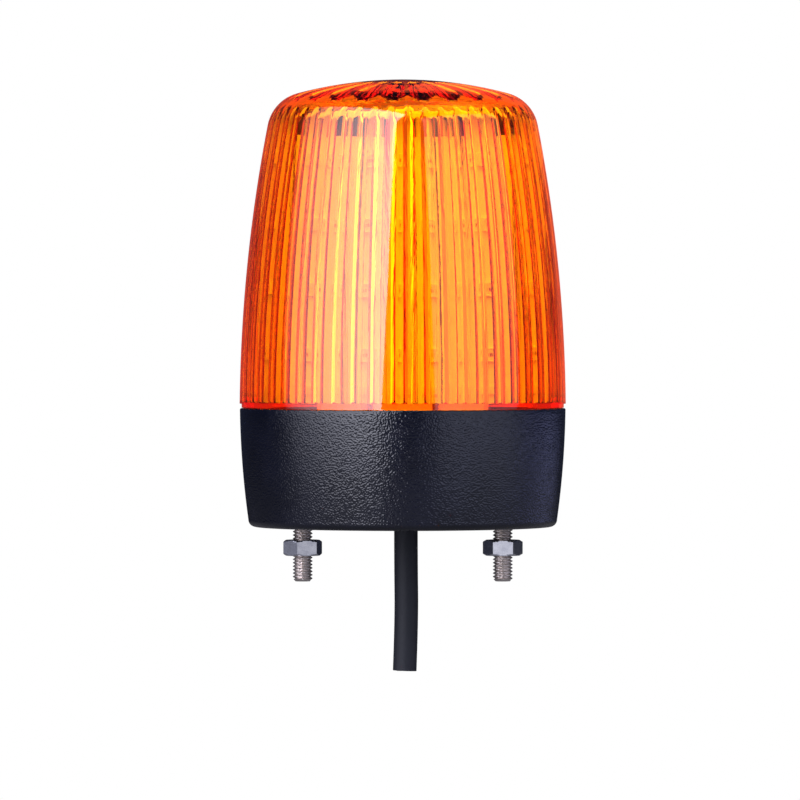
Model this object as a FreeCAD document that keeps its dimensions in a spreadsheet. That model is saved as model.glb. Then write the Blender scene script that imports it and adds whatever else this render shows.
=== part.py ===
"""Panel-mount LED beacon: ribbed bayonet lens, LED tower, moulded base, two studs and a short cable.

Frame: +Z up along the lens axis, origin at the middle of the mounting face, front towards -Y.
"""
import FreeCAD, Part
import math
import os
import Sketcher

# Driving dimensions in millimetres, degrees and counts
SIZES = {
    # lens: outer form
    "rim_radius": 33.0,
    "rim_height": 24.9,
    "side_curve": 314.0,
    "corner_radius": 26.33,
    "corner_height": 86.1,
    "dome_rise": 4.3,
    "shoulder_round": 8.2,
    "lens_wall": 2.0,
    # lens: inner ribs
    "rib_count": 48,
    "rib_depth": 0.8,
    "rib_width": 2.5,
    "rib_crest": 0.55,
    "rib_top": 84.1,
    "rib_turn": 2.5,
    "dome_rib_count": 24,
    "dome_rib_inner": 10.0,
    "dome_rib_outer": 24.0,
    "dome_rib_span": 7.0,
    "dome_rib_depth": 0.8,
    "dome_rib_sunk": 0.7,
    "dome_rib_taper": 20.0,
    # lens: neck, seal groove and bayonet lugs
    "lip_radius": 32.6,
    "lip_gap": 0.15,
    "shelf_height": 25.2,
    "shelf_bevel": 1.2,
    "neck_radius": 30.2,
    "neck_bore": 27.2,
    "lower_neck_radius": 28.5,
    "neck_step": 20.4,
    "neck_end": 13.0,
    "groove_radius": 28.9,
    "groove_low": 21.4,
    "groove_high": 23.4,
    "seal_width": 1.52,
    "seal_gap": 0.04,
    "lug_count": 3,
    "lug_lift": 0.2,
    "lug_reach": 30.1,
    "lug_height": 2.2,
    "lug_span": 22.0,
    # base: cup
    "base_height": 23.95,
    "base_rim_radius": 32.95,
    "base_curve": 180.0,
    "base_foot_radius": 29.8,
    "base_foot_round": 1.45,
    "base_rim_bevel": 0.3,
    "mouth_radius": 30.55,
    "mouth_depth": 11.4,
    "cavity_radius": 28.9,
    "floor_thickness": 3.0,
    "gasket_inner": 26.0,
    "gasket_outer": 28.6,
    "gasket_depth": 1.1,
    # base: bayonet ledges
    "ledge_inner": 28.9,
    "ledge_low": 15.6,
    "ledge_height": 2.2,
    "ledge_span": 28.0,
    "stop_span": 2.2,
    "stop_gap": 0.8,
    # base: posts for the driver board
    "post_count": 3,
    "post_circle": 22.5,
    "post_radius": 3.0,
    "post_pilot": 1.3,
    "screw_depth": 5.0,
    "screw_head_radius": 2.3,
    "screw_head_height": 1.5,
    "screw_crown_radius": 1.6,
    # studs and nuts
    "stud_count": 2,
    "stud_spacing": 40.5,
    "stud_radius": 2.0,
    "thread_pitch_radius": 1.77,
    "collar_radius": 2.5,
    "stud_reach": 11.1,
    "panel_gap": 2.7,
    "head_seat": 4.9,
    "head_height": 2.8,
    "across_flats": 7.0,
    "hex_clearance": 0.2,
    "boss_radius": 5.6,
    "nut_height": 3.2,
    # cable
    "cable_offset": 0.65,
    "cable_radius": 2.4,
    "cable_exit": 2.0,
    "tail_end": 7.2,
    "bush_radius": 4.2,
    "bush_flange_radius": 6.2,
    "bush_flange": 1.4,
    "tie_width": 2.4,
    "tie_thickness": 1.1,
    "tie_head_width": 4.3,
    "tie_head_depth": 3.3,
    "core_radius": 0.75,
    "core_spread": 0.95,
    "core_pad_spread": 2.5,
    "core_rise": 2.2,
    "core_top": 12.3,
    "core_solder_foot": 1.5,
    "core_solder_top": 1.0,
    # driver board
    "board_low": 10.2,
    "board_thickness": 1.6,
    "driver_radius": 27.5,
    "slot_clearance": 0.1,
    # tower of LED boards
    "face_count": 8,
    "tower_apothem": 17.0,
    "led_board_width": 11.3,
    "led_board_low": 22.0,
    "led_board_high": 78.2,
    "tongue_width": 6.0,
    "tongue_low": 9.4,
    "tab_width": 7.0,
    "tab_high": 81.8,
    "pin_width": 4.0,
    "pin_high": 84.2,
    "solder_width": 0.8,
    # LEDs
    "led_rows": 4,
    "led_first": 34.7,
    "led_pitch": 12.95,
    "led_width": 3.5,
    "led_length": 2.8,
    "led_height": 0.8,
    "led_offset": -1.0,
    "resistor_height": 27.6,
    "resistor_width": 3.2,
    "resistor_length": 1.6,
    "resistor_thickness": 0.6,
    # carrier and top board
    "carrier_wall": 1.5,
    "carrier_high": 77.0,
    "flange_radius": 25.8,
    "flange_thickness": 1.4,
    "pillar_radius": 3.2,
    "top_board_radius": 20.5,
    "top_led_count": 4,
    "top_led_circle": 9.5,
    "tower_pilot": 1.25,
    "tower_screw_depth": 7.0,
    # driver parts on the board
    "capacitor_radius": 4.0,
    "capacitor_height": 11.5,
    "capacitor_edge": 0.5,
    "choke_radius": 3.8,
    "choke_core_radius": 2.2,
    "choke_height": 6.5,
    "choke_flange": 1.1,
    "lead_width": 0.6,
    "lead_thickness": 0.3,
    "lead_reach": 1.0,
    # how far an added feature reaches into what carries it
    "overlap": 0.5,
}

SHEET = "Sizes"
AXIS_ID = -1
UPRIGHT_ID = -2
ORIGIN_POINT = 1
START_POINT = 1
END_POINT = 2
CENTRE_POINT = 3

HEXAGON_SIDES = 6
FLAT_FRONT = 30.0
NUT_TURNS = {-1: 15.0, 1: 0.0}

# Places of the driver's tall parts on the board, and place, size and pairs of leads of its packages
CAPACITOR_PLACE = (-6.5, 4.5)
CHOKE_PLACE = (6.0, 5.5)
PACKAGES = {
    "bridge_rectifier": ((-6.0, -6.0), (6.0, 4.4, 2.4), 2),
    "driver_chip": ((3.5, -5.0), (5.0, 4.0, 1.6), 4),
    "input_fuse": ((9.0, -3.0), (2.4, 6.0, 2.2), 1),
}

doc = FreeCAD.newDocument("beacon")
subparts = []


class Size:
    """A length, angle or count together with the sheet expression that gives it."""

    def __init__(self, value, text):
        self.value = value
        self.text = text

    def __add__(self, other):
        other = as_size(other)
        return Size(self.value + other.value, f"({self.text} + {other.text})")

    def __sub__(self, other):
        other = as_size(other)
        return Size(self.value - other.value, f"({self.text} - {other.text})")

    def __mul__(self, other):
        other = as_size(other)
        return Size(self.value * other.value, f"({self.text} * {other.text})")

    def __truediv__(self, other):
        other = as_size(other)
        return Size(self.value / other.value, f"({self.text} / {other.text})")

    def __neg__(self):
        return self * -1

    __radd__ = __add__
    __rmul__ = __mul__


class Arc:
    """The bend from one corner of an outline to the next: to the left (+1) or to the right (-1)."""

    def __init__(self, radius, turn):
        self.radius = radius
        self.turn = turn


def as_size(number):
    """Give a plain number the form of a Size."""
    if isinstance(number, Size):
        return number
    return Size(number, f"({number:.9f})")


def size(alias):
    """The Size held in one cell of the sheet."""
    return Size(SIZES[alias], f"{SHEET}.{alias}")


def root(amount):
    """The square root of a Size."""
    return Size(math.sqrt(amount.value), f"sqrt({amount.text})")


def slope_angle(rise, length):
    """The angle, in degrees, whose sine is the rise over the length."""
    ratio = rise / length
    return Size(math.degrees(math.asin(ratio.value)), f"asin({ratio.text})")


NOTHING = as_size(0.0)

# How far the corner of the hollow lies inside the outer corner, in shares of the wall
CORNER_INWARD = 0.866
CORNER_DOWN = 0.766


# Sheet and binding

def fill_sheet():
    """Write each driving dimension and its alias into the sheet."""
    sheet = doc.addObject("Spreadsheet::Sheet", SHEET)
    for row, (alias, value) in enumerate(SIZES.items(), start=1):
        sheet.set(f"A{row}", alias)
        sheet.set(f"B{row}", str(value))
        sheet.setAlias(f"B{row}", alias)
    doc.recompute()


def bind(thing, name, amount):
    """Set a property and tie it to the sheet."""
    setattr(thing, name, amount.value)
    thing.setExpression(name, amount.text)


def move(thing, x=NOTHING, y=NOTHING, z=NOTHING, turn=0.0):
    """Place an object, turned about Z, with its position tied to the sheet."""
    spin = FreeCAD.Rotation(FreeCAD.Vector(0, 0, 1), turn)
    thing.Placement = FreeCAD.Placement(FreeCAD.Vector(x.value, y.value, z.value), spin)
    for axis, amount in (("x", x), ("y", y), ("z", z)):
        thing.setExpression(f"Placement.Base.{axis}", amount.text)


def keep(thing, label):
    """Name a finished sub-part, which also names its file."""
    thing.Label = label
    subparts.append(thing)
    return thing


# Sketches

def new_body(label):
    """A body that becomes the sub-part of that name."""
    return keep(doc.addObject("PartDesign::Body", label + "_body"), label)


def origin_feature(body, role):
    """The body's own origin plane or axis with that role."""
    return next(item for item in body.Origin.OriginFeatures if item.Role == role)


def new_sketch(body, plane, lift=NOTHING, turn=0.0):
    """A sketch on an origin plane, lifted along its normal and turned about its own upright."""
    sketch = body.newObject("Sketcher::SketchObject", body.Label + "_sketch")
    sketch.AttachmentSupport = [(origin_feature(body, plane), "")]
    sketch.MapMode = "FlatFace"
    spin = FreeCAD.Rotation(FreeCAD.Vector(0, 1, 0), turn)
    sketch.AttachmentOffset = FreeCAD.Placement(FreeCAD.Vector(0, 0, lift.value), spin)
    sketch.setExpression("AttachmentOffset.Base.z", lift.text)
    return sketch


def radial_sketch(body, x, z, azimuth, tilt):
    """A sketch at (x, z) of the upright plane with that azimuth; its own X runs outward, tilted down."""
    sketch = new_sketch(body, "XY_Plane", z)
    spin = FreeCAD.Rotation(FreeCAD.Vector(0, 0, 1), azimuth)
    lean = FreeCAD.Rotation(FreeCAD.Vector(0, 1, 0), tilt)
    place = spin.multVec(FreeCAD.Vector(x.value, 0, z.value))
    sketch.AttachmentOffset = FreeCAD.Placement(place, spin.multiply(lean))
    angle = math.radians(azimuth)
    sketch.setExpression("AttachmentOffset.Base.x", (x * math.cos(angle)).text)
    sketch.setExpression("AttachmentOffset.Base.y", (x * math.sin(angle)).text)
    return sketch


def hold_point(sketch, edge, point, x, y):
    """Tie one point of a sketch to its two coordinates."""
    for kind, amount, line in (("DistanceX", x, UPRIGHT_ID), ("DistanceY", y, AXIS_ID)):
        if abs(amount.value) < 1e-9:
            sketch.addConstraint(Sketcher.Constraint("PointOnObject", edge, point, line))
            continue
        rule = Sketcher.Constraint(kind, AXIS_ID, ORIGIN_POINT, edge, point, amount.value)
        index = sketch.addConstraint(rule)
        sketch.setExpression(f"Constraints[{index}]", amount.text)


def hold_radius(sketch, edge, radius):
    """Tie the radius of an arc or circle to the sheet."""
    index = sketch.addConstraint(Sketcher.Constraint("Radius", edge, radius.value))
    sketch.setExpression(f"Constraints[{index}]", radius.text)


def arc_geometry(start, end, bend):
    """The arc from start to end, and which of its own ends lies at the start and at the end."""
    chord = end - start
    half = chord.Length / 2
    rise = math.sqrt(bend.radius.value ** 2 - half ** 2)
    left = FreeCAD.Vector(-chord.y, chord.x, 0).normalize()
    centre = (start + end) * 0.5 + left * (rise * bend.turn)
    circle = Part.Circle(centre, FreeCAD.Vector(0, 0, 1), bend.radius.value)
    at_start = math.atan2(start.y - centre.y, start.x - centre.x)
    at_end = math.atan2(end.y - centre.y, end.x - centre.x)
    if bend.turn > 0:
        return Part.ArcOfCircle(circle, at_start, at_end), START_POINT, END_POINT
    return Part.ArcOfCircle(circle, at_end, at_start), END_POINT, START_POINT


def outline(sketch, corners, closed=True):
    """Draw straight and round stretches from corner to corner; a third entry is the Arc that follows it."""
    points = [FreeCAD.Vector(corner[0].value, corner[1].value, 0) for corner in corners]
    stretches = []
    for index, corner in enumerate(corners):
        following = index + 1
        if following == len(corners):
            if not closed:
                break
            following = 0
        if len(corner) == 3:
            geometry, first, last = arc_geometry(points[index], points[following], corner[2])
        else:
            geometry = Part.LineSegment(points[index], points[following])
            first, last = START_POINT, END_POINT
        edge = sketch.addGeometry(geometry, False)
        stretches.append((edge, first, last))
        hold_point(sketch, edge, first, corner[0], corner[1])
        if len(corner) == 3:
            hold_radius(sketch, edge, corner[2].radius)
    for before, after in zip(stretches, stretches[1:]):
        sketch.addConstraint(Sketcher.Constraint("Coincident", before[0], before[2], after[0], after[1]))
    before, after = stretches[-1], stretches[0]
    if closed:
        sketch.addConstraint(Sketcher.Constraint("Coincident", before[0], before[2], after[0], after[1]))
    else:
        hold_point(sketch, before[0], before[2], corners[-1][0], corners[-1][1])


def rectangle(sketch, x, y, width, height):
    """An upright rectangle about the point (x, y)."""
    left, right = x - width / 2, x + width / 2
    low, high = y - height / 2, y + height / 2
    outline(sketch, [(left, low), (right, low), (right, high), (left, high)])


def polygon(sketch, x, y, sides, apothem, first_turn):
    """A regular polygon about (x, y), with its first corner at that angle."""
    reach = apothem / math.cos(math.pi / sides)
    angles = [math.radians(first_turn) + 2 * math.pi * index / sides for index in range(sides)]
    outline(sketch, [(x + reach * math.cos(angle), y + reach * math.sin(angle)) for angle in angles])


def circle(sketch, x, y, radius):
    """A full circle about (x, y)."""
    centre = FreeCAD.Vector(x.value, y.value, 0)
    edge = sketch.addGeometry(Part.Circle(centre, FreeCAD.Vector(0, 0, 1), radius.value), False)
    hold_point(sketch, edge, CENTRE_POINT, x, y)
    hold_radius(sketch, edge, radius)


# Features

def revolve(body, sketch, span=None):
    """Turn a sketch about the upright: a full turn, or a span that is even on both sides of it."""
    feature = body.newObject("PartDesign::Revolution", body.Label + "_turned")
    feature.Profile = sketch
    feature.ReferenceAxis = (sketch, ["V_Axis"])
    feature.Angle = 360.0
    if span is not None:
        bind(feature, "Angle", span)
        feature.Midplane = True
    return feature


def pad(body, sketch, length, even=False):
    """Raise a sketch by a length, along its normal or even on both sides."""
    feature = body.newObject("PartDesign::Pad", body.Label + "_pad")
    feature.Profile = sketch
    bind(feature, "Length", length)
    if even:
        feature.SideType = "Symmetric"
    return feature


def cut(body, sketch, depth, upward=False):
    """Sink a sketch into the body, against its normal, or along it where upward is set."""
    feature = body.newObject("PartDesign::Pocket", body.Label + "_cut")
    feature.Profile = sketch
    bind(feature, "Length", depth)
    feature.Reversed = upward
    return feature


def repeat(body, feature, count):
    """Repeat a feature evenly round the upright axis."""
    pattern = body.newObject("PartDesign::PolarPattern", body.Label + "_ring")
    pattern.Originals = [feature]
    pattern.Axis = (origin_feature(body, "Z_Axis"), [""])
    pattern.Angle = 360.0
    pattern.Occurrences = int(count.value)
    pattern.setExpression("Occurrences", count.text)
    body.Tip = pattern
    return pattern


def edge_names(feature, test):
    """Names of the feature's edges that pass a test."""
    return [f"Edge{index}" for index, edge in enumerate(feature.Shape.Edges, start=1) if test(edge)]


def circle_at(radius, height):
    """A test for a round edge of that radius about the upright axis, at that height."""
    def test(edge):
        if edge.Degenerated or not isinstance(edge.Curve, Part.Circle):
            return False
        near = abs(edge.Curve.Radius - radius.value) < 0.01
        return near and abs(edge.Curve.Center.z - height.value) < 0.01
    return test


# Primitives

def cylinder(x, y, z, radius, height):
    """An upright cylinder standing on (x, y, z)."""
    shape = doc.addObject("Part::Cylinder", "round")
    bind(shape, "Radius", radius)
    bind(shape, "Height", height)
    move(shape, x, y, z)
    return shape


def cone(x, y, z, low_radius, high_radius, height):
    """An upright cone standing on (x, y, z)."""
    shape = doc.addObject("Part::Cone", "taper")
    bind(shape, "Radius1", low_radius)
    bind(shape, "Radius2", high_radius)
    bind(shape, "Height", height)
    move(shape, x, y, z)
    return shape


def hexagon(x, y, z, across_flats, height, turn):
    """An upright six-sided prism standing on (x, y, z)."""
    shape = doc.addObject("Part::Prism", "hexagon")
    shape.Polygon = HEXAGON_SIDES
    bind(shape, "Circumradius", across_flats / math.sqrt(3))
    bind(shape, "Height", height)
    move(shape, x, y, z, turn)
    return shape


def block(x, y, z, length, width, height):
    """A box whose foot is centred on (x, y, z)."""
    shape = doc.addObject("Part::Box", "block")
    bind(shape, "Length", length)
    bind(shape, "Width", width)
    bind(shape, "Height", height)
    move(shape, x - length / 2, y - width / 2, z)
    return shape


def joined(*shapes):
    """Several solids fused into one."""
    fuse = doc.addObject("Part::MultiFuse", "joined")
    fuse.Shapes = list(shapes)
    return fuse


def without(base, tool):
    """One solid with another taken away from it."""
    difference = doc.addObject("Part::Cut", "difference")
    difference.Base = base
    difference.Tool = tool
    return difference


def group(label, shapes):
    """Separate solids that share one node."""
    compound = doc.addObject("Part::Compound", label + "_group")
    compound.Links = list(shapes)
    return keep(compound, label)


# Lens

def dome_outline(sketch, inset):
    """Half of the dome's section, for the outside or, with the wall as inset, for the hollow."""
    foot_radius = size("rim_radius") - inset
    corner_radius = size("corner_radius") - inset * CORNER_INWARD
    corner_height = size("corner_height") - inset * CORNER_DOWN
    top = size("corner_height") + size("dome_rise") - inset
    rise = top - corner_height
    dome_curve = (corner_radius * corner_radius + rise * rise) / (rise * 2)
    outline(sketch, [
        (NOTHING, size("rim_height")),
        (foot_radius, size("rim_height"), Arc(size("side_curve") - inset, +1)),
        (corner_radius, corner_height, Arc(dome_curve, +1)),
        (NOTHING, top),
    ])
    return circle_at(corner_radius, corner_height)


def round_shoulder(body, feature, at_corner, radius):
    """Round the edge between side and dome."""
    doc.recompute()
    shoulder = body.newObject("PartDesign::Fillet", "shoulder")
    shoulder.Base = (feature, edge_names(feature, at_corner))
    bind(shoulder, "Radius", radius)


def lens_shell(body):
    """The outer dome with a rounded shoulder, hollowed to an even wall from below."""
    sketch = new_sketch(body, "XZ_Plane")
    outer_corner = dome_outline(sketch, NOTHING)
    round_shoulder(body, revolve(body, sketch), outer_corner, size("shoulder_round"))
    sketch = new_sketch(body, "XZ_Plane")
    inner_corner = dome_outline(sketch, size("lens_wall"))
    hollow = body.newObject("PartDesign::Groove", "hollow")
    hollow.Profile = sketch
    hollow.ReferenceAxis = (sketch, ["V_Axis"])
    hollow.Angle = 360.0
    round_shoulder(body, hollow, inner_corner, size("shoulder_round") - size("lens_wall"))


def lens_neck(body):
    """The lip that closes on the base, the seal groove, the neck and the shelf inside it."""
    wall_inside = size("rim_radius") - size("lens_wall")
    wall_middle = size("rim_radius") - size("lens_wall") / 2
    lip_bottom = size("base_height") + size("lip_gap")
    neck, groove = size("neck_radius"), size("groove_radius")
    lower, bore = size("lower_neck_radius"), size("neck_bore")
    shelf, bevel = size("shelf_height"), size("shelf_bevel")
    sketch = new_sketch(body, "XZ_Plane")
    outline(sketch, [
        (wall_middle, shelf + bevel),
        (wall_inside, shelf + bevel),
        (wall_inside - bevel, shelf),
        (bore, shelf),
        (bore, size("neck_end")),
        (lower, size("neck_end")),
        (lower, size("neck_step")),
        (neck, size("neck_step")),
        (neck, size("groove_low")),
        (groove, size("groove_low")),
        (groove, size("groove_high")),
        (neck, size("groove_high")),
        (neck, lip_bottom),
        (size("lip_radius"), lip_bottom),
        (size("lip_radius"), size("rim_height") + size("overlap")),
    ])
    revolve(body, sketch)


def side_centre():
    """Centre, beyond the axis, of the arc that the side of the lens follows."""
    low_radius, high_radius = size("rim_radius"), size("corner_radius")
    low, high = size("rim_height"), size("corner_height")
    across, up = high_radius - low_radius, high - low
    chord = root(across * across + up * up)
    curve = size("side_curve")
    inward = root(curve * curve - chord * chord / 4)
    return (low_radius + high_radius) / 2 - up / chord * inward, (low + high) / 2 + across / chord * inward


def side_ribs(body):
    """Flat-topped ribs up the inside of the wall, turned about its arc's centre and lost in the shoulder."""
    centre_x, centre_z = side_centre()
    wall_curve = size("side_curve") - size("lens_wall")
    depth, sunk = size("rib_depth"), size("overlap")
    half_crest = size("rib_crest") / 2
    flank = (size("rib_width") - size("rib_crest")) / 2
    half_root = half_crest + flank * (depth + sunk) / depth
    foot_angle = slope_angle(size("rim_height") - centre_z, wall_curve)
    top_angle = slope_angle(size("rib_top") - centre_z, wall_curve)
    sketch = radial_sketch(body, centre_x, centre_z, SIZES["rib_turn"], -foot_angle.value)
    outline(sketch, [
        (wall_curve - depth, -half_crest),
        (wall_curve + sunk, -half_root),
        (wall_curve + sunk, half_root),
        (wall_curve - depth, half_crest),
    ])
    rib = revolve(body, sketch)
    rib.Reversed = True
    bind(rib, "Angle", top_angle - foot_angle)
    repeat(body, rib, size("rib_count"))


def dome_underside(radius):
    """Height of the dome's underside at that radius."""
    rise, corner = size("dome_rise"), size("corner_radius")
    dome_curve = (corner * corner + rise * rise) / (rise * 2)
    inside_curve = dome_curve - size("lens_wall")
    centre = size("corner_height") + rise - dome_curve
    return centre + root(inside_curve * inside_curve - radius * radius)


def dome_ribs(body):
    """Radial ribs under the dome, wider outwards and narrower downwards, one to every second side rib."""
    inner, outer = size("dome_rib_inner"), size("dome_rib_outer")
    drop = dome_underside(inner) - dome_underside(outer)
    run = outer - inner
    length = root(run * run + drop * drop)
    sunk = size("dome_rib_sunk")
    azimuth = SIZES["rib_turn"] + 180.0 / SIZES["dome_rib_count"]
    tilt = math.degrees(math.atan2(drop.value, run.value))
    sketch = radial_sketch(body, inner, dome_underside(inner) + sunk, azimuth, tilt)
    half_span = math.tan(math.radians(SIZES["dome_rib_span"] / 2))
    half_inner, half_outer = inner * half_span, outer * half_span
    outline(sketch, [
        (NOTHING, -half_inner),
        (length, -half_outer),
        (length, half_outer),
        (NOTHING, half_inner),
    ])
    rib = pad(body, sketch, sunk + size("dome_rib_depth"))
    rib.Reversed = True
    bind(rib, "TaperAngle", -size("dome_rib_taper"))
    repeat(body, rib, size("dome_rib_count"))


def lens_lugs(body):
    """Bayonet lugs at the foot of the neck."""
    low = size("neck_end") + size("lug_lift")
    inside = size("lower_neck_radius") - size("overlap")
    sketch = new_sketch(body, "XZ_Plane")
    outline(sketch, [
        (inside, low),
        (size("lug_reach"), low),
        (size("lug_reach"), low + size("lug_height")),
        (inside, low + size("lug_height")),
    ])
    repeat(body, revolve(body, sketch, size("lug_span")), size("lug_count"))


def make_lens():
    body = new_body("lens")
    lens_shell(body)
    lens_neck(body)
    side_ribs(body)
    dome_ribs(body)
    lens_lugs(body)


def make_lens_seal():
    """Square-section ring that lies in the groove of the neck."""
    body = new_body("lens_seal")
    inner = size("groove_radius") + size("seal_gap")
    outer = inner + size("seal_width")
    middle = (size("groove_low") + size("groove_high")) / 2
    low, high = middle - size("seal_width") / 2, middle + size("seal_width") / 2
    sketch = new_sketch(body, "XZ_Plane")
    outline(sketch, [(inner, low), (outer, low), (outer, high), (inner, high)])
    revolve(body, sketch)


# Base

def base_cup(body):
    """The cup, with the gasket groove in its underside."""
    rim, foot = size("base_rim_radius"), size("base_foot_radius")
    foot_round, rim_bevel = size("base_foot_round"), size("base_rim_bevel")
    height = size("base_height")
    floor_top = size("floor_thickness")
    sketch = new_sketch(body, "XZ_Plane")
    outline(sketch, [
        (NOTHING, NOTHING),
        (size("gasket_inner"), NOTHING),
        (size("gasket_inner"), size("gasket_depth")),
        (size("gasket_outer"), size("gasket_depth")),
        (size("gasket_outer"), NOTHING),
        (foot, NOTHING, Arc(foot_round, +1)),
        (foot + foot_round, foot_round, Arc(size("base_curve"), +1)),
        (rim, height - rim_bevel),
        (rim - rim_bevel, height),
        (size("mouth_radius"), height),
        (size("mouth_radius"), height - size("mouth_depth")),
        (size("cavity_radius"), floor_top),
        (NOTHING, floor_top),
    ])
    revolve(body, sketch)


def base_ledges(body):
    """Ledges that hold the lens lugs down, each with a stop at one end."""
    inner, outer = size("ledge_inner"), size("mouth_radius") + size("overlap")
    low, high = size("ledge_low"), size("ledge_low") + size("ledge_height")
    sketch = new_sketch(body, "XZ_Plane")
    outline(sketch, [(inner, low), (outer, low), (outer, high), (inner, high)])
    repeat(body, revolve(body, sketch, size("ledge_span")), size("lug_count"))
    stop_middle = SIZES["lug_span"] / 2 + SIZES["stop_gap"] + SIZES["stop_span"] / 2
    stop_low = low - size("lug_height")
    sketch = new_sketch(body, "XZ_Plane", turn=-stop_middle)
    outline(sketch, [(inner, stop_low), (outer, stop_low), (outer, high), (inner, high)])
    repeat(body, revolve(body, sketch, size("stop_span")), size("lug_count"))


def base_posts(body):
    """Posts under the driver board, each with a pilot hole for its screw."""
    sunk = size("floor_thickness") - size("overlap")
    sketch = new_sketch(body, "XY_Plane", sunk)
    circle(sketch, NOTHING, size("post_circle"), size("post_radius"))
    repeat(body, pad(body, sketch, size("board_low") - sunk), size("post_count"))
    sketch = new_sketch(body, "XY_Plane", size("board_low"))
    circle(sketch, NOTHING, size("post_circle"), size("post_pilot"))
    repeat(body, cut(body, sketch, size("screw_depth")), size("post_count"))


def base_stud_seats(body):
    """Bosses with a six-sided seat for the stud heads and a hole for their collars."""
    half = size("stud_spacing") / 2
    sunk = size("floor_thickness") - size("overlap")
    head_top = size("head_seat") + size("head_height")
    sketch = new_sketch(body, "XY_Plane", sunk)
    circle(sketch, half, NOTHING, size("boss_radius"))
    repeat(body, pad(body, sketch, head_top - sunk), size("stud_count"))
    sketch = new_sketch(body, "XY_Plane", head_top)
    apothem = (size("across_flats") + size("hex_clearance")) / 2
    polygon(sketch, half, NOTHING, HEXAGON_SIDES, apothem, FLAT_FRONT)
    repeat(body, cut(body, sketch, size("head_height")), size("stud_count"))
    sketch = new_sketch(body, "XY_Plane", size("head_seat"))
    circle(sketch, half, NOTHING, size("collar_radius"))
    repeat(body, cut(body, sketch, size("head_seat")), size("stud_count"))


def make_base_housing():
    body = new_body("base_housing")
    base_cup(body)
    base_ledges(body)
    base_posts(body)
    base_stud_seats(body)
    sketch = new_sketch(body, "XY_Plane", size("floor_thickness"))
    circle(sketch, size("cable_offset"), NOTHING, size("bush_radius"))
    cut(body, sketch, size("floor_thickness"))


def make_base_gasket():
    """Flat ring that fills the groove in the underside."""
    body = new_body("base_gasket")
    inner, outer = size("gasket_inner"), size("gasket_outer")
    sketch = new_sketch(body, "XZ_Plane")
    top = size("gasket_depth")
    outline(sketch, [(inner, NOTHING), (outer, NOTHING), (outer, top), (inner, top)])
    revolve(body, sketch)


# Studs, nuts and screws

def make_mounting_studs():
    """Two studs: hexagon head and collar in the base, plain shank in the panel, thread below."""
    studs = []
    for side in (-1, 1):
        x = size("stud_spacing") * (side / 2)
        collar = cylinder(x, NOTHING, NOTHING, size("collar_radius"), size("head_seat"))
        head = hexagon(x, NOTHING, size("head_seat"), size("across_flats"), size("head_height"), FLAT_FRONT)
        shank = cylinder(x, NOTHING, -size("panel_gap"), size("stud_radius"), size("panel_gap"))
        thread_length = size("stud_reach") - size("panel_gap")
        thread = cylinder(x, NOTHING, -size("stud_reach"), size("thread_pitch_radius"), thread_length)
        studs.append(joined(collar, head, shank, thread))
    group("mounting_studs", studs)


def make_mounting_nuts():
    """Two hexagon nuts, tightened to different angles."""
    nuts = []
    height = size("nut_height")
    foot = -size("panel_gap") - height
    for side, turn in NUT_TURNS.items():
        x = size("stud_spacing") * (side / 2)
        outside = hexagon(x, NOTHING, foot, size("across_flats"), height, turn)
        bore = cylinder(x, NOTHING, foot, size("thread_pitch_radius"), height)
        nuts.append(without(outside, bore))
    group("mounting_nuts", nuts)


def screw_head(x, y, seat):
    """A pan head that narrows upwards."""
    return cone(x, y, seat, size("screw_head_radius"), size("screw_crown_radius"), size("screw_head_height"))


def make_board_screws():
    """Pan-head screws through the driver board into the posts."""
    screws = []
    seat = size("board_low") + size("board_thickness")
    for index in range(SIZES["post_count"]):
        angle = math.pi / 2 + 2 * math.pi * index / SIZES["post_count"]
        x = size("post_circle") * math.cos(angle)
        y = size("post_circle") * math.sin(angle)
        shank_length = size("screw_depth") + size("board_thickness")
        shank = cylinder(x, y, seat - shank_length, size("post_pilot"), shank_length)
        head = screw_head(x, y, seat)
        screws.append(joined(shank, head))
    group("board_screws", screws)


# Cable

def make_cable_grommet():
    """Rubber bush in the floor, with a flange that stops it from inside."""
    body = new_body("cable_grommet")
    bore, bush = size("cable_radius"), size("bush_radius")
    floor_top = size("floor_thickness")
    flange_top = floor_top + size("bush_flange")
    sketch = new_sketch(body, "XZ_Plane")
    outline(sketch, [
        (bore, size("cable_exit")),
        (bush, size("cable_exit")),
        (bush, floor_top),
        (size("bush_flange_radius"), floor_top),
        (size("bush_flange_radius"), flange_top),
        (bore, flange_top),
    ])
    revolve(body, sketch)
    move(body, x=size("cable_offset"))


# The free cable's route from its exit to its cut end
CABLE_ROUTE = [
    (0.65, 0.0, 2.0),
    (0.65, 0.0, -7.6),
    (0.80, 0.15, -18.6),
    (0.40, 0.05, -29.2),
]


def rounded_path(points):
    """Straight runs joined by tangent arcs as large as the runs allow; also gives the arcs' radii."""
    share = 0.45
    edges = []
    radii = []
    start = points[0]
    for before, here, after in zip(points, points[1:], points[2:]):
        back = (before - here).normalize()
        ahead = (after - here).normalize()
        trim = share * min((before - here).Length, (after - here).Length)
        half_turn = (math.pi - back.getAngle(ahead)) / 2
        radius = trim / math.tan(half_turn)
        bisector = (back + ahead).normalize()
        middle = here + bisector * (radius / math.cos(half_turn) - radius)
        arc_start, arc_end = here + back * trim, here + ahead * trim
        edges.append(Part.LineSegment(start, arc_start).toShape())
        edges.append(Part.Arc(arc_start, middle, arc_end).toShape())
        radii.append(radius)
        start = arc_end
    edges.append(Part.LineSegment(start, points[-1]).toShape())
    return Part.Wire(edges), radii


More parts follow.
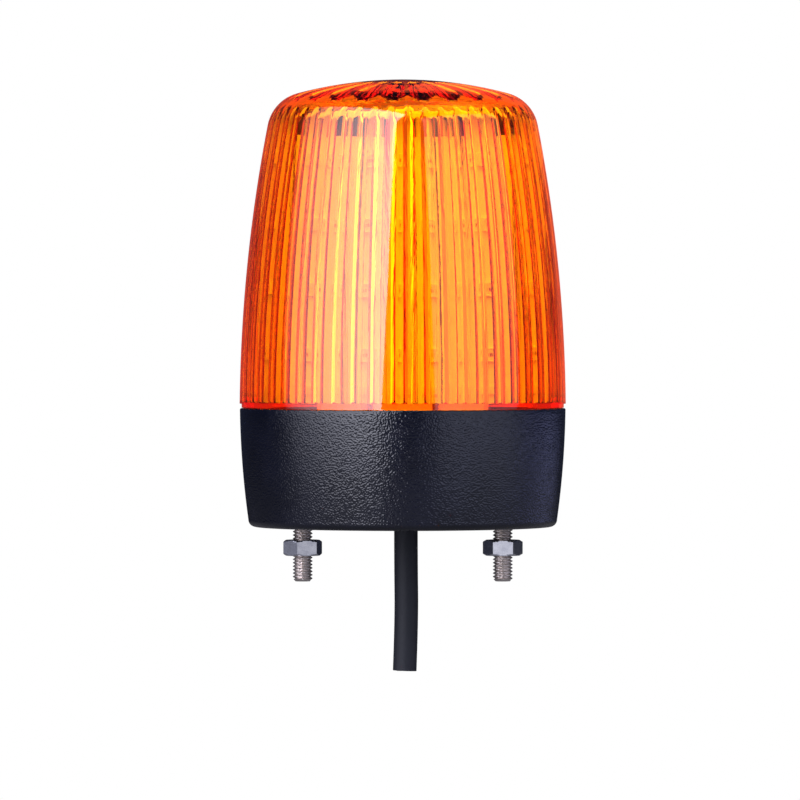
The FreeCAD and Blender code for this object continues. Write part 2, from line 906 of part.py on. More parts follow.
def make_supply_cable():
    """The free cable: a round tube along its route, cut square at the end."""
    points = [FreeCAD.Vector(*point) for point in CABLE_ROUTE]
    path, radii = rounded_path(points)
    radius = size("cable_radius").value
    section = Part.Wire(Part.Circle(points[0], points[1] - points[0], radius).toShape())
    tube = doc.addObject("Part::Feature", "cable_tube")
    tube.Shape = path.makePipeShell([section], True, False)
    keep(tube, "supply_cable")
    expected = math.pi * radius ** 2 * path.Length
    print("cable length", round(path.Length, 2), "radii", [round(value) for value in radii])
    print("cable volume share", round(tube.Shape.Volume / expected, 4))


def make_cable_tail():
    """The sheath inside the base, up to where it is stripped."""
    length = size("tail_end") - size("cable_exit")
    tail = cylinder(size("cable_offset"), NOTHING, size("cable_exit"), size("cable_radius"), length)
    keep(tail, "cable_tail")


def make_core(label, side):
    """One core: an S-bend from the stripped sheath out to its pad, then up through the board."""
    body = new_body(label)
    first = size("cable_offset") + size("core_spread") * side
    pad_x = size("cable_offset") + size("core_pad_spread") * side
    shift = size("core_pad_spread") - size("core_spread")
    rise = size("core_rise")
    bend = (shift * shift + rise * rise) / (shift * 4)
    low = size("tail_end")
    section = new_sketch(body, "XY_Plane", low)
    circle(section, first, NOTHING, size("core_radius"))
    path = new_sketch(body, "XZ_Plane")
    outline(path, [
        (first, low, Arc(bend, -side)),
        ((first + pad_x) / 2, low + rise / 2, Arc(bend, side)),
        (pad_x, low + rise),
        (pad_x, size("core_top")),
    ], closed=False)
    wire = body.newObject("PartDesign::AdditivePipe", label + "_pipe")
    wire.Profile = section
    wire.Spine = path


def make_core_solder():
    """A solder cone round each core, on the driver board."""
    joints = []
    seat = size("board_low") + size("board_thickness")
    height = size("core_top") - seat
    for side in (-1, 1):
        x = size("cable_offset") + size("core_pad_spread") * side
        mound = cone(x, NOTHING, seat, size("core_solder_foot"), size("core_solder_top"), height)
        joints.append(without(mound, cylinder(x, NOTHING, seat, size("core_radius"), height)))
    group("core_solder", joints)


def make_cable_tie():
    """A tie round the sheath, standing on the bush, with its head at one side."""
    x = size("cable_offset")
    low = size("floor_thickness") + size("bush_flange")
    band_radius = size("cable_radius") + size("tie_thickness")
    band = cylinder(x, NOTHING, low, band_radius, size("tie_width"))
    head = block(x, band_radius, low, size("tie_head_width"), size("tie_head_depth"), size("tie_width"))
    sheath = cylinder(x, NOTHING, low, size("cable_radius"), size("tie_width"))
    keep(without(joined(band, head), sheath), "cable_tie")


# Driver board and the parts on it

def tongue_slot(sketch, clearance):
    """The outline of a board's tongue, seen from above, on the face towards +X."""
    thickness = size("board_thickness")
    middle = size("tower_apothem") - thickness / 2
    rectangle(sketch, middle, NOTHING, thickness + clearance * 2, size("tongue_width") + clearance * 2)


def make_driver_board():
    """Round board with slots for the tongues, and holes for the screws and the cores."""
    body = new_body("driver_board")
    low, thickness = size("board_low"), size("board_thickness")
    sketch = new_sketch(body, "XY_Plane", low)
    circle(sketch, NOTHING, NOTHING, size("driver_radius"))
    for side in (-1, 1):
        pad_x = size("cable_offset") + size("core_pad_spread") * side
        circle(sketch, pad_x, NOTHING, size("core_radius"))
    pad(body, sketch, thickness)
    sketch = new_sketch(body, "XY_Plane", low + thickness)
    circle(sketch, NOTHING, size("post_circle"), size("post_pilot"))
    repeat(body, cut(body, sketch, thickness), size("post_count"))
    sketch = new_sketch(body, "XY_Plane", low + thickness)
    tongue_slot(sketch, size("slot_clearance"))
    repeat(body, cut(body, sketch, thickness), size("face_count"))


def make_board_solder():
    """Solder round the tongues, under the driver board."""
    body = new_body("board_solder")
    thickness = size("solder_width")
    sketch = new_sketch(body, "XY_Plane", size("board_low") - thickness)
    tongue_slot(sketch, size("solder_width"))
    tongue_slot(sketch, NOTHING)
    repeat(body, pad(body, sketch, thickness), size("face_count"))


def seat_on_board(body, place):
    """Stand a body on the driver board at that place."""
    x, y = place
    move(body, as_size(x), as_size(y), size("board_low") + size("board_thickness"))


def make_storage_capacitor():
    """Upright can with a bevelled top edge."""
    body = new_body("storage_capacitor")
    radius, height, edge = size("capacitor_radius"), size("capacitor_height"), size("capacitor_edge")
    sketch = new_sketch(body, "XZ_Plane")
    outline(sketch, [
        (NOTHING, NOTHING),
        (radius, NOTHING),
        (radius, height - edge),
        (radius - edge, height),
        (NOTHING, height),
    ])
    revolve(body, sketch)
    seat_on_board(body, CAPACITOR_PLACE)


def make_filter_choke():
    """Drum core with a wound waist."""
    body = new_body("filter_choke")
    radius, waist = size("choke_radius"), size("choke_core_radius")
    height, flange = size("choke_height"), size("choke_flange")
    sketch = new_sketch(body, "XZ_Plane")
    outline(sketch, [
        (NOTHING, NOTHING),
        (radius, NOTHING),
        (radius, flange),
        (waist, flange),
        (waist, height - flange),
        (radius, height - flange),
        (radius, height),
        (NOTHING, height),
    ])
    revolve(body, sketch)
    seat_on_board(body, CHOKE_PLACE)


def make_package(label, place, extent, pairs):
    """A moulded package with flat leads at both of its long sides."""
    seat = size("board_low") + size("board_thickness")
    x, y = [as_size(amount) for amount in place]
    length, width, height = [as_size(amount) for amount in extent]
    pieces = [block(x, y, seat, length, width, height)]
    pitch = length / pairs
    lead_span = width + size("lead_reach") * 2
    for index in range(pairs):
        lead_x = x + pitch * (index - (pairs - 1) / 2)
        lead = block(lead_x, y, seat, size("lead_width"), lead_span, size("lead_thickness"))
        pieces.append(lead)
    keep(joined(*pieces), label)


# Tower

def make_led_board(number):
    """A board that stands on the carrier's flange: tongue below, stepped tab above."""
    body = new_body(f"led_board_{number}")
    half, tongue = size("led_board_width") / 2, size("tongue_width") / 2
    tab, pin = size("tab_width") / 2, size("pin_width") / 2
    low, high = size("led_board_low"), size("led_board_high")
    right = [
        (tongue, size("tongue_low")),
        (tongue, low),
        (half, low),
        (half, high),
        (tab, high),
        (tab, size("tab_high")),
        (pin, size("tab_high")),
        (pin, size("pin_high")),
    ]
    left = [(-across, height) for across, height in reversed(right)]
    sketch = new_sketch(body, "YZ_Plane", size("tower_apothem") - size("board_thickness"))
    outline(sketch, right + left)
    pad(body, sketch, size("board_thickness"))
    move(body, turn=-90.0 + 360.0 / SIZES["face_count"] * (number - 1))


def make_leds():
    """LED packages in rows up the eight boards."""
    body = new_body("leds")
    sketch = new_sketch(body, "YZ_Plane", size("tower_apothem"))
    for row in range(SIZES["led_rows"]):
        height = size("led_first") + size("led_pitch") * row
        rectangle(sketch, size("led_offset"), height, size("led_width"), size("led_length"))
    repeat(body, pad(body, sketch, size("led_height")), size("face_count"))


def make_led_resistors():
    """One resistor near the foot of each board."""
    body = new_body("led_resistors")
    sketch = new_sketch(body, "YZ_Plane", size("tower_apothem"))
    rectangle(sketch, NOTHING, size("resistor_height"), size("resistor_width"), size("resistor_length"))
    repeat(body, pad(body, sketch, size("resistor_thickness")), size("face_count"))


def make_led_carrier():
    """Octagonal tube closed at the top, with a round flange below and a pillar above."""
    body = new_body("led_carrier")
    low = size("board_low") + size("board_thickness")
    high, wall = size("carrier_high"), size("carrier_wall")
    apothem = size("tower_apothem") - size("board_thickness")
    half_face = 180.0 / SIZES["face_count"]
    sketch = new_sketch(body, "XY_Plane", low)
    polygon(sketch, NOTHING, NOTHING, SIZES["face_count"], apothem, half_face)
    pad(body, sketch, high - low)
    flange_low = size("led_board_low") - size("flange_thickness")
    sketch = new_sketch(body, "XY_Plane", flange_low)
    circle(sketch, NOTHING, NOTHING, size("flange_radius"))
    pad(body, sketch, size("flange_thickness"))
    sketch = new_sketch(body, "XY_Plane", high)
    circle(sketch, NOTHING, NOTHING, size("pillar_radius"))
    pad(body, sketch, size("tab_high") - high)
    sketch = new_sketch(body, "XY_Plane", low)
    polygon(sketch, NOTHING, NOTHING, SIZES["face_count"], apothem - wall, half_face)
    cut(body, sketch, high - low - wall, upward=True)
    sketch = new_sketch(body, "XY_Plane", size("led_board_low"))
    tongue_slot(sketch, size("slot_clearance"))
    repeat(body, cut(body, sketch, size("flange_thickness")), size("face_count"))
    sketch = new_sketch(body, "XY_Plane", size("tab_high"))
    circle(sketch, NOTHING, NOTHING, size("tower_pilot"))
    cut(body, sketch, size("tower_screw_depth"))


def make_top_board():
    """Round board on the tabs of the LED boards and the carrier's pillar."""
    body = new_body("top_board")
    low, thickness = size("tab_high"), size("board_thickness")
    sketch = new_sketch(body, "XY_Plane", low)
    circle(sketch, NOTHING, NOTHING, size("top_board_radius"))
    circle(sketch, NOTHING, NOTHING, size("tower_pilot"))
    pad(body, sketch, thickness)
    sketch = new_sketch(body, "XY_Plane", low + thickness)
    middle = size("tower_apothem") - thickness / 2
    clearance = size("slot_clearance") * 2
    rectangle(sketch, middle, NOTHING, thickness + clearance, size("pin_width") + clearance)
    repeat(body, cut(body, sketch, thickness), size("face_count"))


def make_top_leds():
    """LEDs on the top board that light the dome."""
    body = new_body("top_leds")
    sketch = new_sketch(body, "XY_Plane", size("tab_high") + size("board_thickness"))
    rectangle(sketch, size("top_led_circle"), NOTHING, size("led_length"), size("led_width"))
    repeat(body, pad(body, sketch, size("led_height")), size("top_led_count"))


def make_tower_screw():
    """Pan-head screw through the top board into the pillar."""
    seat = size("tab_high") + size("board_thickness")
    length = size("tower_screw_depth") + size("board_thickness")
    shank = cylinder(NOTHING, NOTHING, seat - length, size("tower_pilot"), length)
    keep(joined(shank, screw_head(NOTHING, NOTHING, seat)), "tower_screw")


# Assembly

def make_all():
    make_lens()
    make_lens_seal()
    make_base_housing()
    make_base_gasket()
    make_mounting_studs()
    make_mounting_nuts()
    make_cable_grommet()
    make_supply_cable()
    make_cable_tail()
    make_core("core_brown", -1)
    make_core("core_blue", 1)
    make_core_solder()
    make_cable_tie()
    make_driver_board()
    make_board_screws()
    make_board_solder()
    make_storage_capacitor()
    make_filter_choke()
    for label, (place, extent, pairs) in PACKAGES.items():
        make_package(label, place, extent, pairs)
    make_led_carrier()
    for number in range(1, SIZES["face_count"] + 1):
        make_led_board(number)
    make_leds()
    make_led_resistors()
    make_top_board()
    make_top_leds()
    make_tower_screw()


def check_all():
    """Stop if any object failed, or if a sub-part has no valid solid."""
    for thing in doc.Objects:
        if "Invalid" in thing.State or "Error" in thing.State:
            raise RuntimeError(f"{thing.Label} failed: {thing.State}")
    for thing in subparts:
        shape = thing.Shape
        if shape.isNull() or not shape.isValid() or not shape.Solids:
            raise RuntimeError(f"{thing.Label} has no valid solid")


def write_parts():
    """Write each sub-part to a file of its own name."""
    os.makedirs("parts", exist_ok=True)
    for thing in subparts:
        thing.Shape.exportStep(f"parts/{thing.Label}.step")
        print(thing.Label, len(thing.Shape.Solids), round(thing.Shape.Volume, 1))


fill_sheet()
make_all()
doc.recompute()
check_all()
write_parts()
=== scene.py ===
"""Looks of the amber beacon: a fluted lens over white LED boards, on a grained black base."""
import math

import bpy
import numpy as np
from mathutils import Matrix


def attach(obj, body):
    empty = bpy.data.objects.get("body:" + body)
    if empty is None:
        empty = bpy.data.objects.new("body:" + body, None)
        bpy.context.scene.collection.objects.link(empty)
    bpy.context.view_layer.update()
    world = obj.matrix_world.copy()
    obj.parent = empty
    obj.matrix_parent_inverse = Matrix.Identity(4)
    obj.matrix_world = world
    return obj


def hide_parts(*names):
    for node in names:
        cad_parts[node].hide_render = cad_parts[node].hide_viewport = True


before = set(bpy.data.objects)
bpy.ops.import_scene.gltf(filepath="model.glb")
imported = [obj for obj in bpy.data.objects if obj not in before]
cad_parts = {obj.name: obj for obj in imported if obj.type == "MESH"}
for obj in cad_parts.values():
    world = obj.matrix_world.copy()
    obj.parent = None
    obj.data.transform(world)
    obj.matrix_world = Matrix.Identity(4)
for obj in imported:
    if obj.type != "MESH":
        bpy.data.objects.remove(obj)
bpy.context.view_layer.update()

# Lengths below are in millimetres, and MM makes them metres
MM = 0.001
# Named angles below are in degrees, and these two are in radians
FULL_TURN, FRONT = 2 * math.pi, -math.pi / 2


# Camera

EYE_DISTANCE = 1430.0
EYE_HEIGHT = 44.0
AIM_X, AIM_Z = -0.55, 25.6
FOCAL_LENGTH, FILM_WIDTH = 318.0, 36.0


def set_camera():
    """A long lens straight in front, a little above the base, tipped down to the aim point."""
    camera = bpy.data.objects.new("camera", bpy.data.cameras.new("camera"))
    camera.data.lens = FOCAL_LENGTH
    camera.data.sensor_width = FILM_WIDTH
    camera.location = (AIM_X * MM, -EYE_DISTANCE * MM, EYE_HEIGHT * MM)
    tip = math.atan2(EYE_HEIGHT - AIM_Z, EYE_DISTANCE)
    camera.rotation_euler = (math.pi / 2 - tip, 0.0, 0.0)
    bpy.context.collection.objects.link(camera)
    bpy.context.scene.camera = camera


# Meshes

CREASE = 35.0


def link(name, mesh):
    """A new object in the scene, at the origin."""
    piece = bpy.data.objects.new(name, mesh)
    bpy.context.collection.objects.link(piece)
    return piece


def skin(rings, first_pole=None, last_pole=None, around=False, finish=0):
    """Quads between neighbouring closed rings, given as rows x columns x 3.

    Columns run anticlockwise seen from above, and rows run down the outside, so faces point outwards.
    A pole closes an end with a fan of triangles. With around, the last row meets the first.
    """
    rings = np.asarray(rings, float)
    rows, columns = rings.shape[:2]
    points = rings.reshape(-1, 3)
    index = np.arange(rows * columns).reshape(rows, columns)
    upper = index if around else index[:-1]
    lower = np.roll(index, -1, axis=0) if around else index[1:]
    quads = np.stack([upper, lower, np.roll(lower, -1, axis=1), np.roll(upper, -1, axis=1)], axis=-1)
    fans = []
    if first_pole is not None:
        tip = np.full(columns, len(points))
        points = np.vstack([points, first_pole])
        fans.append(np.stack([tip, index[0], np.roll(index[0], -1)], axis=-1))
    if last_pole is not None:
        tip = np.full(columns, len(points))
        points = np.vstack([points, last_pole])
        fans.append(np.stack([np.roll(index[-1], -1), index[-1], tip], axis=-1))
    triangles = np.concatenate(fans) if fans else np.zeros((0, 3), int)
    return points, quads.reshape(-1, 4), triangles, finish


def placed(shell, turn=0.0, shift=(0.0, 0.0, 0.0)):
    """The shell turned about the Z axis by so many degrees, then shifted."""
    points, quads, triangles, finish = shell
    angle = math.radians(turn)
    turning = np.array([
        [math.cos(angle), -math.sin(angle), 0.0],
        [math.sin(angle), math.cos(angle), 0.0],
        [0.0, 0.0, 1.0],
    ])
    return points @ turning.T + np.asarray(shift), quads, triangles, finish


def build(name, shells, crease=CREASE):
    """One object from several shells in millimetres, smooth but for edges sharper than the crease angle."""
    counts = [len(shell[0]) for shell in shells]
    offsets = np.concatenate([[0], np.cumsum(counts)[:-1]]).astype(int)
    points = np.concatenate([shell[0] for shell in shells]) * MM
    quads = np.concatenate([shell[1] + start for shell, start in zip(shells, offsets)])
    triangles = np.concatenate([shell[2] + start for shell, start in zip(shells, offsets)])
    quad_finish = np.concatenate([np.full(len(shell[1]), shell[3]) for shell in shells])
    fan_finish = np.concatenate([np.full(len(shell[2]), shell[3]) for shell in shells])
    corners = np.concatenate([quads.ravel(), triangles.ravel()])
    starts = np.concatenate([np.arange(len(quads)) * 4, len(quads) * 4 + np.arange(len(triangles)) * 3])
    mesh = bpy.data.meshes.new(name)
    mesh.vertices.add(len(points))
    mesh.vertices.foreach_set("co", points.ravel())
    mesh.loops.add(len(corners))
    mesh.loops.foreach_set("vertex_index", corners.astype(np.int32))
    mesh.polygons.add(len(starts))
    mesh.polygons.foreach_set("loop_start", starts.astype(np.int32))
    mesh.polygons.foreach_set("material_index", np.concatenate([quad_finish, fan_finish]).astype(np.int32))
    mesh.update(calc_edges=True)
    mesh.validate()
    mesh.set_sharp_from_angle(angle=math.radians(crease))
    return link(name, mesh)


def finished(piece, body, slot, *materials):
    """Give the piece its materials and its body. The slot is not used."""
    for material in materials:
        piece.data.materials.append(material)
    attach(piece, body)
    return piece


# Profiles

# Two rows this far apart make a step in a wall as good as square, and angles this close count as equal
STEP = 0.02
ANGLE_SLACK = 0.01


def arc(centre, radius, start, end, count):
    """Points on a circle between two angles in radians, both ends in."""
    angles = np.linspace(start, end, count)
    return np.stack([centre[0] + radius * np.cos(angles), centre[1] + radius * np.sin(angles)], axis=-1)


def bulge_centre(low, high, radius):
    """Centre, towards the axis, of the circle of that radius through two points of a side."""
    low, high = np.asarray(low), np.asarray(high)
    chord = high - low
    inward = np.array([-chord[1], chord[0]]) / np.hypot(*chord)
    return (low + high) / 2 + inward * math.sqrt(radius ** 2 - np.dot(chord, chord) / 4)


def outer_meeting(centre_a, radius_a, centre_b, radius_b):
    """Where two circles cross, on the side away from the axis and up."""
    between = centre_b - centre_a
    distance = np.hypot(*between)
    along = (radius_a ** 2 - radius_b ** 2 + distance ** 2) / (2 * distance)
    aside = math.sqrt(radius_a ** 2 - along ** 2)
    unit = between / distance
    normal = np.array([-unit[1], unit[0]])
    crossings = [centre_a + unit * along + normal * side * aside for side in (-1, 1)]
    return max(crossings, key=lambda point: point[0] + point[1])


def bearing(centre, point):
    """Angle in radians of the line from the centre to the point."""
    return math.atan2(point[1] - centre[1], point[0] - centre[0])


def turned(radius, height, angles):
    """Rings round the Z axis: radius and height are rows, or rows x columns, and angles are columns."""
    radius, height = np.broadcast_arrays(radius, height)
    if radius.ndim == 1:
        radius, height = radius[:, None], height[:, None]
    shape = (radius.shape[0], len(angles))
    x, y = radius * np.cos(angles), radius * np.sin(angles)
    return np.stack([np.broadcast_to(part, shape) for part in (x, y, height)], axis=-1)


def even_angles(columns):
    """So many angles in radians, evenly round the axis."""
    return np.arange(columns) * FULL_TURN / columns


# Lens

RIM_RADIUS, RIM_HEIGHT = 33.0, 24.9
SIDE_CURVE = 314.0
CORNER_RADIUS, CORNER_HEIGHT = 26.33, 86.1
DOME_RISE = 4.3
SHOULDER_ROUND = 8.2
LENS_WALL = 2.0
LENS_TOP = CORNER_HEIGHT + DOME_RISE
DOME_CURVE = (CORNER_RADIUS ** 2 + DOME_RISE ** 2) / (2 * DOME_RISE)
RIB_COUNT = 48
RIB_DEPTH, RIB_WIDTH, RIB_CREST, VALLEY_BOW = 0.80, 2.5, 0.55, 0.25
SHELF_HEIGHT, SHELF_ROUND = 25.2, 0.3
RIB_TURN = 2.5
FLUTE_COUNT, FLUTE_DEPTH, FLUTE_SPAN = 24, 0.6, 11.0
FLUTE_INNER, FLUTE_OUTER, FLUTE_END, FLUTE_DROP = 10.0, 22.6, 1.5, 3.0
LIP_RADIUS, LIP_BOTTOM = 32.6, 24.1
NECK_RADIUS, NECK_STEP, NECK_END = 30.2, 20.4, 13.0
LOWER_NECK, NECK_BORE = 28.5, 27.2
SEAL_GROOVE, GROOVE_LOW, GROOVE_HIGH = 28.9, 21.4, 23.4
LUG_REACH, LUG_LOW, LUG_HIGH, LUG_SPAN, LUG_COUNT = 30.1, 13.2, 15.4, 22.0, 3
LENS_CREASE = 28.0

# Rows of points along the dome, the shoulder and the side, outside and inside
OUTER_ROWS = (14, 12, 22)
INNER_ROWS = (44, 14, 26)
# Rows round the shelf's corner, and points across a valley with both of its ends
SHELF_ROWS, VALLEY_POINTS = 7, 8


def rib_angles():
    """Angles round the lens, with the height of the flat-topped ribs at each as a share of their depth.

    The floor of each valley between the ribs bows up a little, as a parabola.
    """
    half = RIB_WIDTH / 2 / (FULL_TURN * (RIM_RADIUS - LENS_WALL) / RIB_COUNT)
    crest = RIB_CREST / RIB_WIDTH
    across = half * np.array([-1.0, -(1.0 + crest) / 2, -crest, 0.0, crest, (1.0 + crest) / 2, 1.0])
    between = np.linspace(half, 1.0 - half, VALLEY_POINTS)[1:-1]
    share = np.concatenate([across, between])
    pitch = FULL_TURN / RIB_COUNT
    first = FRONT + math.radians(RIB_TURN)
    angles = first + pitch * (np.arange(RIB_COUNT)[:, None] + share[None, :]).ravel()
    crown = np.clip((1.0 - np.abs(share) / half) / (1.0 - crest), 0.0, 1.0)
    valley = share > half
    crown[valley] = VALLEY_BOW * (1.0 - ((share[valley] - 0.5) / (0.5 - half)) ** 2)
    return angles, np.tile(crown, RIB_COUNT)


def dome_centres():
    """Centres of the side arc, the dome arc and the shoulder arc that touches both."""
    side = bulge_centre((RIM_RADIUS, RIM_HEIGHT), (CORNER_RADIUS, CORNER_HEIGHT), SIDE_CURVE)
    dome = np.array([0.0, LENS_TOP - DOME_CURVE])
    shoulder = outer_meeting(side, SIDE_CURVE - SHOULDER_ROUND, dome, DOME_CURVE - SHOULDER_ROUND)
    return side, dome, shoulder


def dome_profile(inset, foot, dome_rows, shoulder_rows, side_rows):
    """Section from near the axis over the dome and the shoulder and down the side to the foot height.

    It is three arcs that touch, all set in from the outside of the lens by the same inset.
    """
    side, dome, shoulder = dome_centres()
    dome_end, side_top = bearing(dome, shoulder), bearing(side, shoulder)
    side_foot = math.asin((foot - side[1]) / (SIDE_CURVE - inset))
    top = arc(dome, DOME_CURVE - inset, math.pi / 2, dome_end, dome_rows)[1:-1]
    bend = arc(shoulder, SHOULDER_ROUND - inset, dome_end, side_top, shoulder_rows)
    wall = arc(side, SIDE_CURVE - inset, side_top, side_foot, side_rows)[1:]
    return np.concatenate([top, bend, wall])


def neck_profile():
    """Section from under the lip round the neck and up its bore to the foot of the ribs."""
    corners = [
        (LIP_RADIUS, RIM_HEIGHT),
        (LIP_RADIUS, LIP_BOTTOM),
        (NECK_RADIUS, LIP_BOTTOM),
        (NECK_RADIUS, GROOVE_HIGH),
        (SEAL_GROOVE, GROOVE_HIGH),
        (SEAL_GROOVE, GROOVE_LOW),
        (NECK_RADIUS, GROOVE_LOW),
        (NECK_RADIUS, NECK_STEP),
        (LOWER_NECK, NECK_STEP),
        (LOWER_NECK, LUG_HIGH + STEP),
        (LOWER_NECK, LUG_HIGH),
        (LOWER_NECK, LUG_LOW),
        (LOWER_NECK, LUG_LOW - STEP),
        (LOWER_NECK, NECK_END),
        (NECK_BORE, NECK_END),
        (NECK_BORE, SHELF_HEIGHT),
    ]
    return np.array(corners)


def inner_profile():
    """Section from the shelf on the neck round its corner, up the inside wall and in under the dome."""
    wall = dome_profile(LENS_WALL, SHELF_HEIGHT + SHELF_ROUND, *INNER_ROWS)[::-1]
    centre = (wall[0, 0] - SHELF_ROUND, wall[0, 1])
    corner = arc(centre, SHELF_ROUND, -math.pi / 2, 0.0, SHELF_ROWS)[:-1]
    return np.concatenate([corner, wall])


def near(angles, middle, span):
    """1 where an angle is within half the span, in degrees, of the middle, and 0 elsewhere."""
    away = np.abs((np.degrees(angles) - middle + 180.0) % 360.0 - 180.0)
    return (away <= span / 2 + ANGLE_SLACK).astype(float)


def every(angles, count, middle, span):
    """The same mask repeated evenly round the axis."""
    return sum(near(angles, middle + step * 360.0 / count, span) for step in range(count))


def lens_rings():
    """One closed section carried round the axis: outside, lip, neck, bore, ribbed wall and fluted dome.

    Radius is the section's own, plus the lug height where a lug is, less each rib's height.
    A rib's height falls by the gap between the wall carried straight on and the shoulder, so it runs out
    to a point. Under the dome the height drops by radial ribs, half an ellipse across, with round ends.
    """
    angles, crown = rib_angles()
    outside = dome_profile(0.0, RIM_HEIGHT, *OUTER_ROWS)
    neck = neck_profile()
    inside = inner_profile()
    profile = np.concatenate([outside, neck, inside])
    radius = np.repeat(profile[:, :1], len(angles), axis=1)
    height = np.repeat(profile[:, 1:], len(angles), axis=1)

    lug_rows = (profile[:, 0] == LOWER_NECK) & (profile[:, 1] <= LUG_HIGH) & (profile[:, 1] >= LUG_LOW)
    lugs = every(angles, LUG_COUNT, 0.0, LUG_SPAN)
    radius += (LUG_REACH - LOWER_NECK) * lug_rows[:, None] * lugs

    first = len(outside) + len(neck)
    side = dome_centres()[0]
    straight_on = side[0] + np.sqrt((SIDE_CURVE - LENS_WALL) ** 2 - (inside[:, 1] - side[1]) ** 2)
    gap = np.clip(straight_on - inside[:, 0], 0.0, None)
    ribs = np.clip(RIB_DEPTH * crown - gap[:, None], 0.0, None)
    radius[first:] -= ribs

    past_outer = np.clip((inside[:, 0] - FLUTE_OUTER + FLUTE_END) / FLUTE_END, 0.0, 1.0)
    past_inner = np.clip((FLUTE_INNER + FLUTE_END - inside[:, 0]) / FLUTE_END, 0.0, 1.0)
    on_dome = (inside[:, 1] > CORNER_HEIGHT - LENS_WALL - FLUTE_DROP)[:, None]
    pitch = 360.0 / FLUTE_COUNT
    turn = (np.degrees(angles - FRONT) - RIB_TURN) % pitch - pitch / 2
    ridge = 1.0 - (turn / (FLUTE_SPAN / 2)) ** 2 - past_outer[:, None] ** 2 - past_inner[:, None] ** 2
    height[first:] -= FLUTE_DEPTH * on_dome * np.sqrt(np.clip(ridge, 0.0, None))
    return turned(radius, height, angles), first


def mark_inside(piece, heights, first):
    """Mark the inside wall below the dome, from the first point on, so that its finish can differ."""
    inside = (heights < CORNER_HEIGHT - SHOULDER_ROUND).astype(float)
    inside[:first] = 0.0
    mark = piece.data.attributes.new("inside", "FLOAT", "POINT")
    mark.data.foreach_set("value", inside)


def make_lens():
    """The lens as one closed shell, with a pole at the top of each of its two skins."""
    rings, first = lens_rings()
    shell = skin(rings, (0.0, 0.0, LENS_TOP), (0.0, 0.0, LENS_TOP - LENS_WALL))
    piece = build("lens_shell", [shell], crease=LENS_CREASE)
    mark_inside(piece, shell[0][:, 2], first * rings.shape[1])
    finished(piece, "lens", "lens_amber", amber_lens())
    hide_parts("lens")


# Base

BASE_HEIGHT, BASE_RIM = 23.95, 32.95
BASE_CURVE = 180.0
BASE_FOOT, FOOT_ROUND, RIM_ROUND = 29.8, 1.45, 0.3
MOUTH_RADIUS, MOUTH_DEPTH = 30.55, 11.4
CAVITY_RADIUS, FLOOR = 28.9, 3.0
GASKET_INNER, GASKET_OUTER, GASKET_DEPTH = 26.0, 28.6, 1.1
LEDGE_INNER, LEDGE_LOW, LEDGE_HIGH, LEDGE_SPAN = 28.9, 15.6, 17.8, 28.0
STOP_SPAN, STOP_GAP, STOP_LOW = 2.2, 0.8, 13.4
STUD_SPACING, COLLAR_RADIUS, BUSH_RADIUS, CABLE_X = 40.5, 2.5, 4.2, 0.65
POST_COUNT, POST_CIRCLE, POST_RADIUS, POST_TOP = 3, 22.5, 3.0, 10.2
POST_PILOT, PILOT_DEPTH = 1.3, 5.0
POST_START = 90.0
BOSS_RADIUS, SEAT_CLEARANCE = 5.6, 0.2
STUD_PLACES = (-STUD_SPACING / 2, STUD_SPACING / 2)
PEG_PAST = 1.0
BASE_COLUMNS, ROUND_COLUMNS = 360, 48
RIM_ROWS, SIDE_ROWS, FOOT_ROWS = 7, 26, 12


def base_profile():
    """Section from the floor up the cavity and the mouth, over the rim and down the side to the groove."""
    foot, rim = (BASE_FOOT + FOOT_ROUND, FOOT_ROUND), (BASE_RIM, BASE_HEIGHT - RIM_ROUND)
    side = bulge_centre(foot, rim, BASE_CURVE)
    mouth_foot = BASE_HEIGHT - MOUTH_DEPTH
    inside = [
        (CAVITY_RADIUS, FLOOR),
        (MOUTH_RADIUS, mouth_foot),
        (MOUTH_RADIUS, STOP_LOW - STEP),
        (MOUTH_RADIUS, STOP_LOW),
        (MOUTH_RADIUS, LEDGE_LOW - STEP),
        (MOUTH_RADIUS, LEDGE_LOW),
        (MOUTH_RADIUS, LEDGE_HIGH),
        (MOUTH_RADIUS, LEDGE_HIGH + STEP),
        (MOUTH_RADIUS, BASE_HEIGHT),
    ]
    rim_arc = arc((BASE_RIM - RIM_ROUND, rim[1]), RIM_ROUND, math.pi / 2, 0.0, RIM_ROWS)
    wall = arc(side, BASE_CURVE, bearing(side, rim), bearing(side, foot), SIDE_ROWS)
    foot_arc = arc((BASE_FOOT, FOOT_ROUND), FOOT_ROUND, 0.0, -math.pi / 2, FOOT_ROWS)
    under = [
        (GASKET_OUTER, 0.0),
        (GASKET_OUTER, GASKET_DEPTH),
        (GASKET_INNER, GASKET_DEPTH),
        (GASKET_INNER, 0.0),
    ]
    return np.concatenate([inside, rim_arc, wall, foot_arc, under])


def base_rings():
    """The base's section carried round the axis, with the ledges and stops standing in from the mouth."""
    angles = even_angles(BASE_COLUMNS)
    profile = base_profile()
    radius = np.repeat(profile[:, :1], len(angles), axis=1)
    in_mouth = profile[:, 0] == MOUTH_RADIUS
    ledge_rows = in_mouth & (profile[:, 1] >= LEDGE_LOW) & (profile[:, 1] <= LEDGE_HIGH)
    stop_rows = in_mouth & (profile[:, 1] >= STOP_LOW) & (profile[:, 1] <= LEDGE_HIGH)
    stop_middle = LUG_SPAN / 2 + STOP_GAP + STOP_SPAN / 2
    ledges = ledge_rows[:, None] * every(angles, LUG_COUNT, 0.0, LEDGE_SPAN)
    stops = stop_rows[:, None] * every(angles, LUG_COUNT, -stop_middle, STOP_SPAN)
    radius -= (MOUTH_RADIUS - LEDGE_INNER) * np.maximum(ledges, stops)
    return turned(radius, profile[:, 1:], angles)


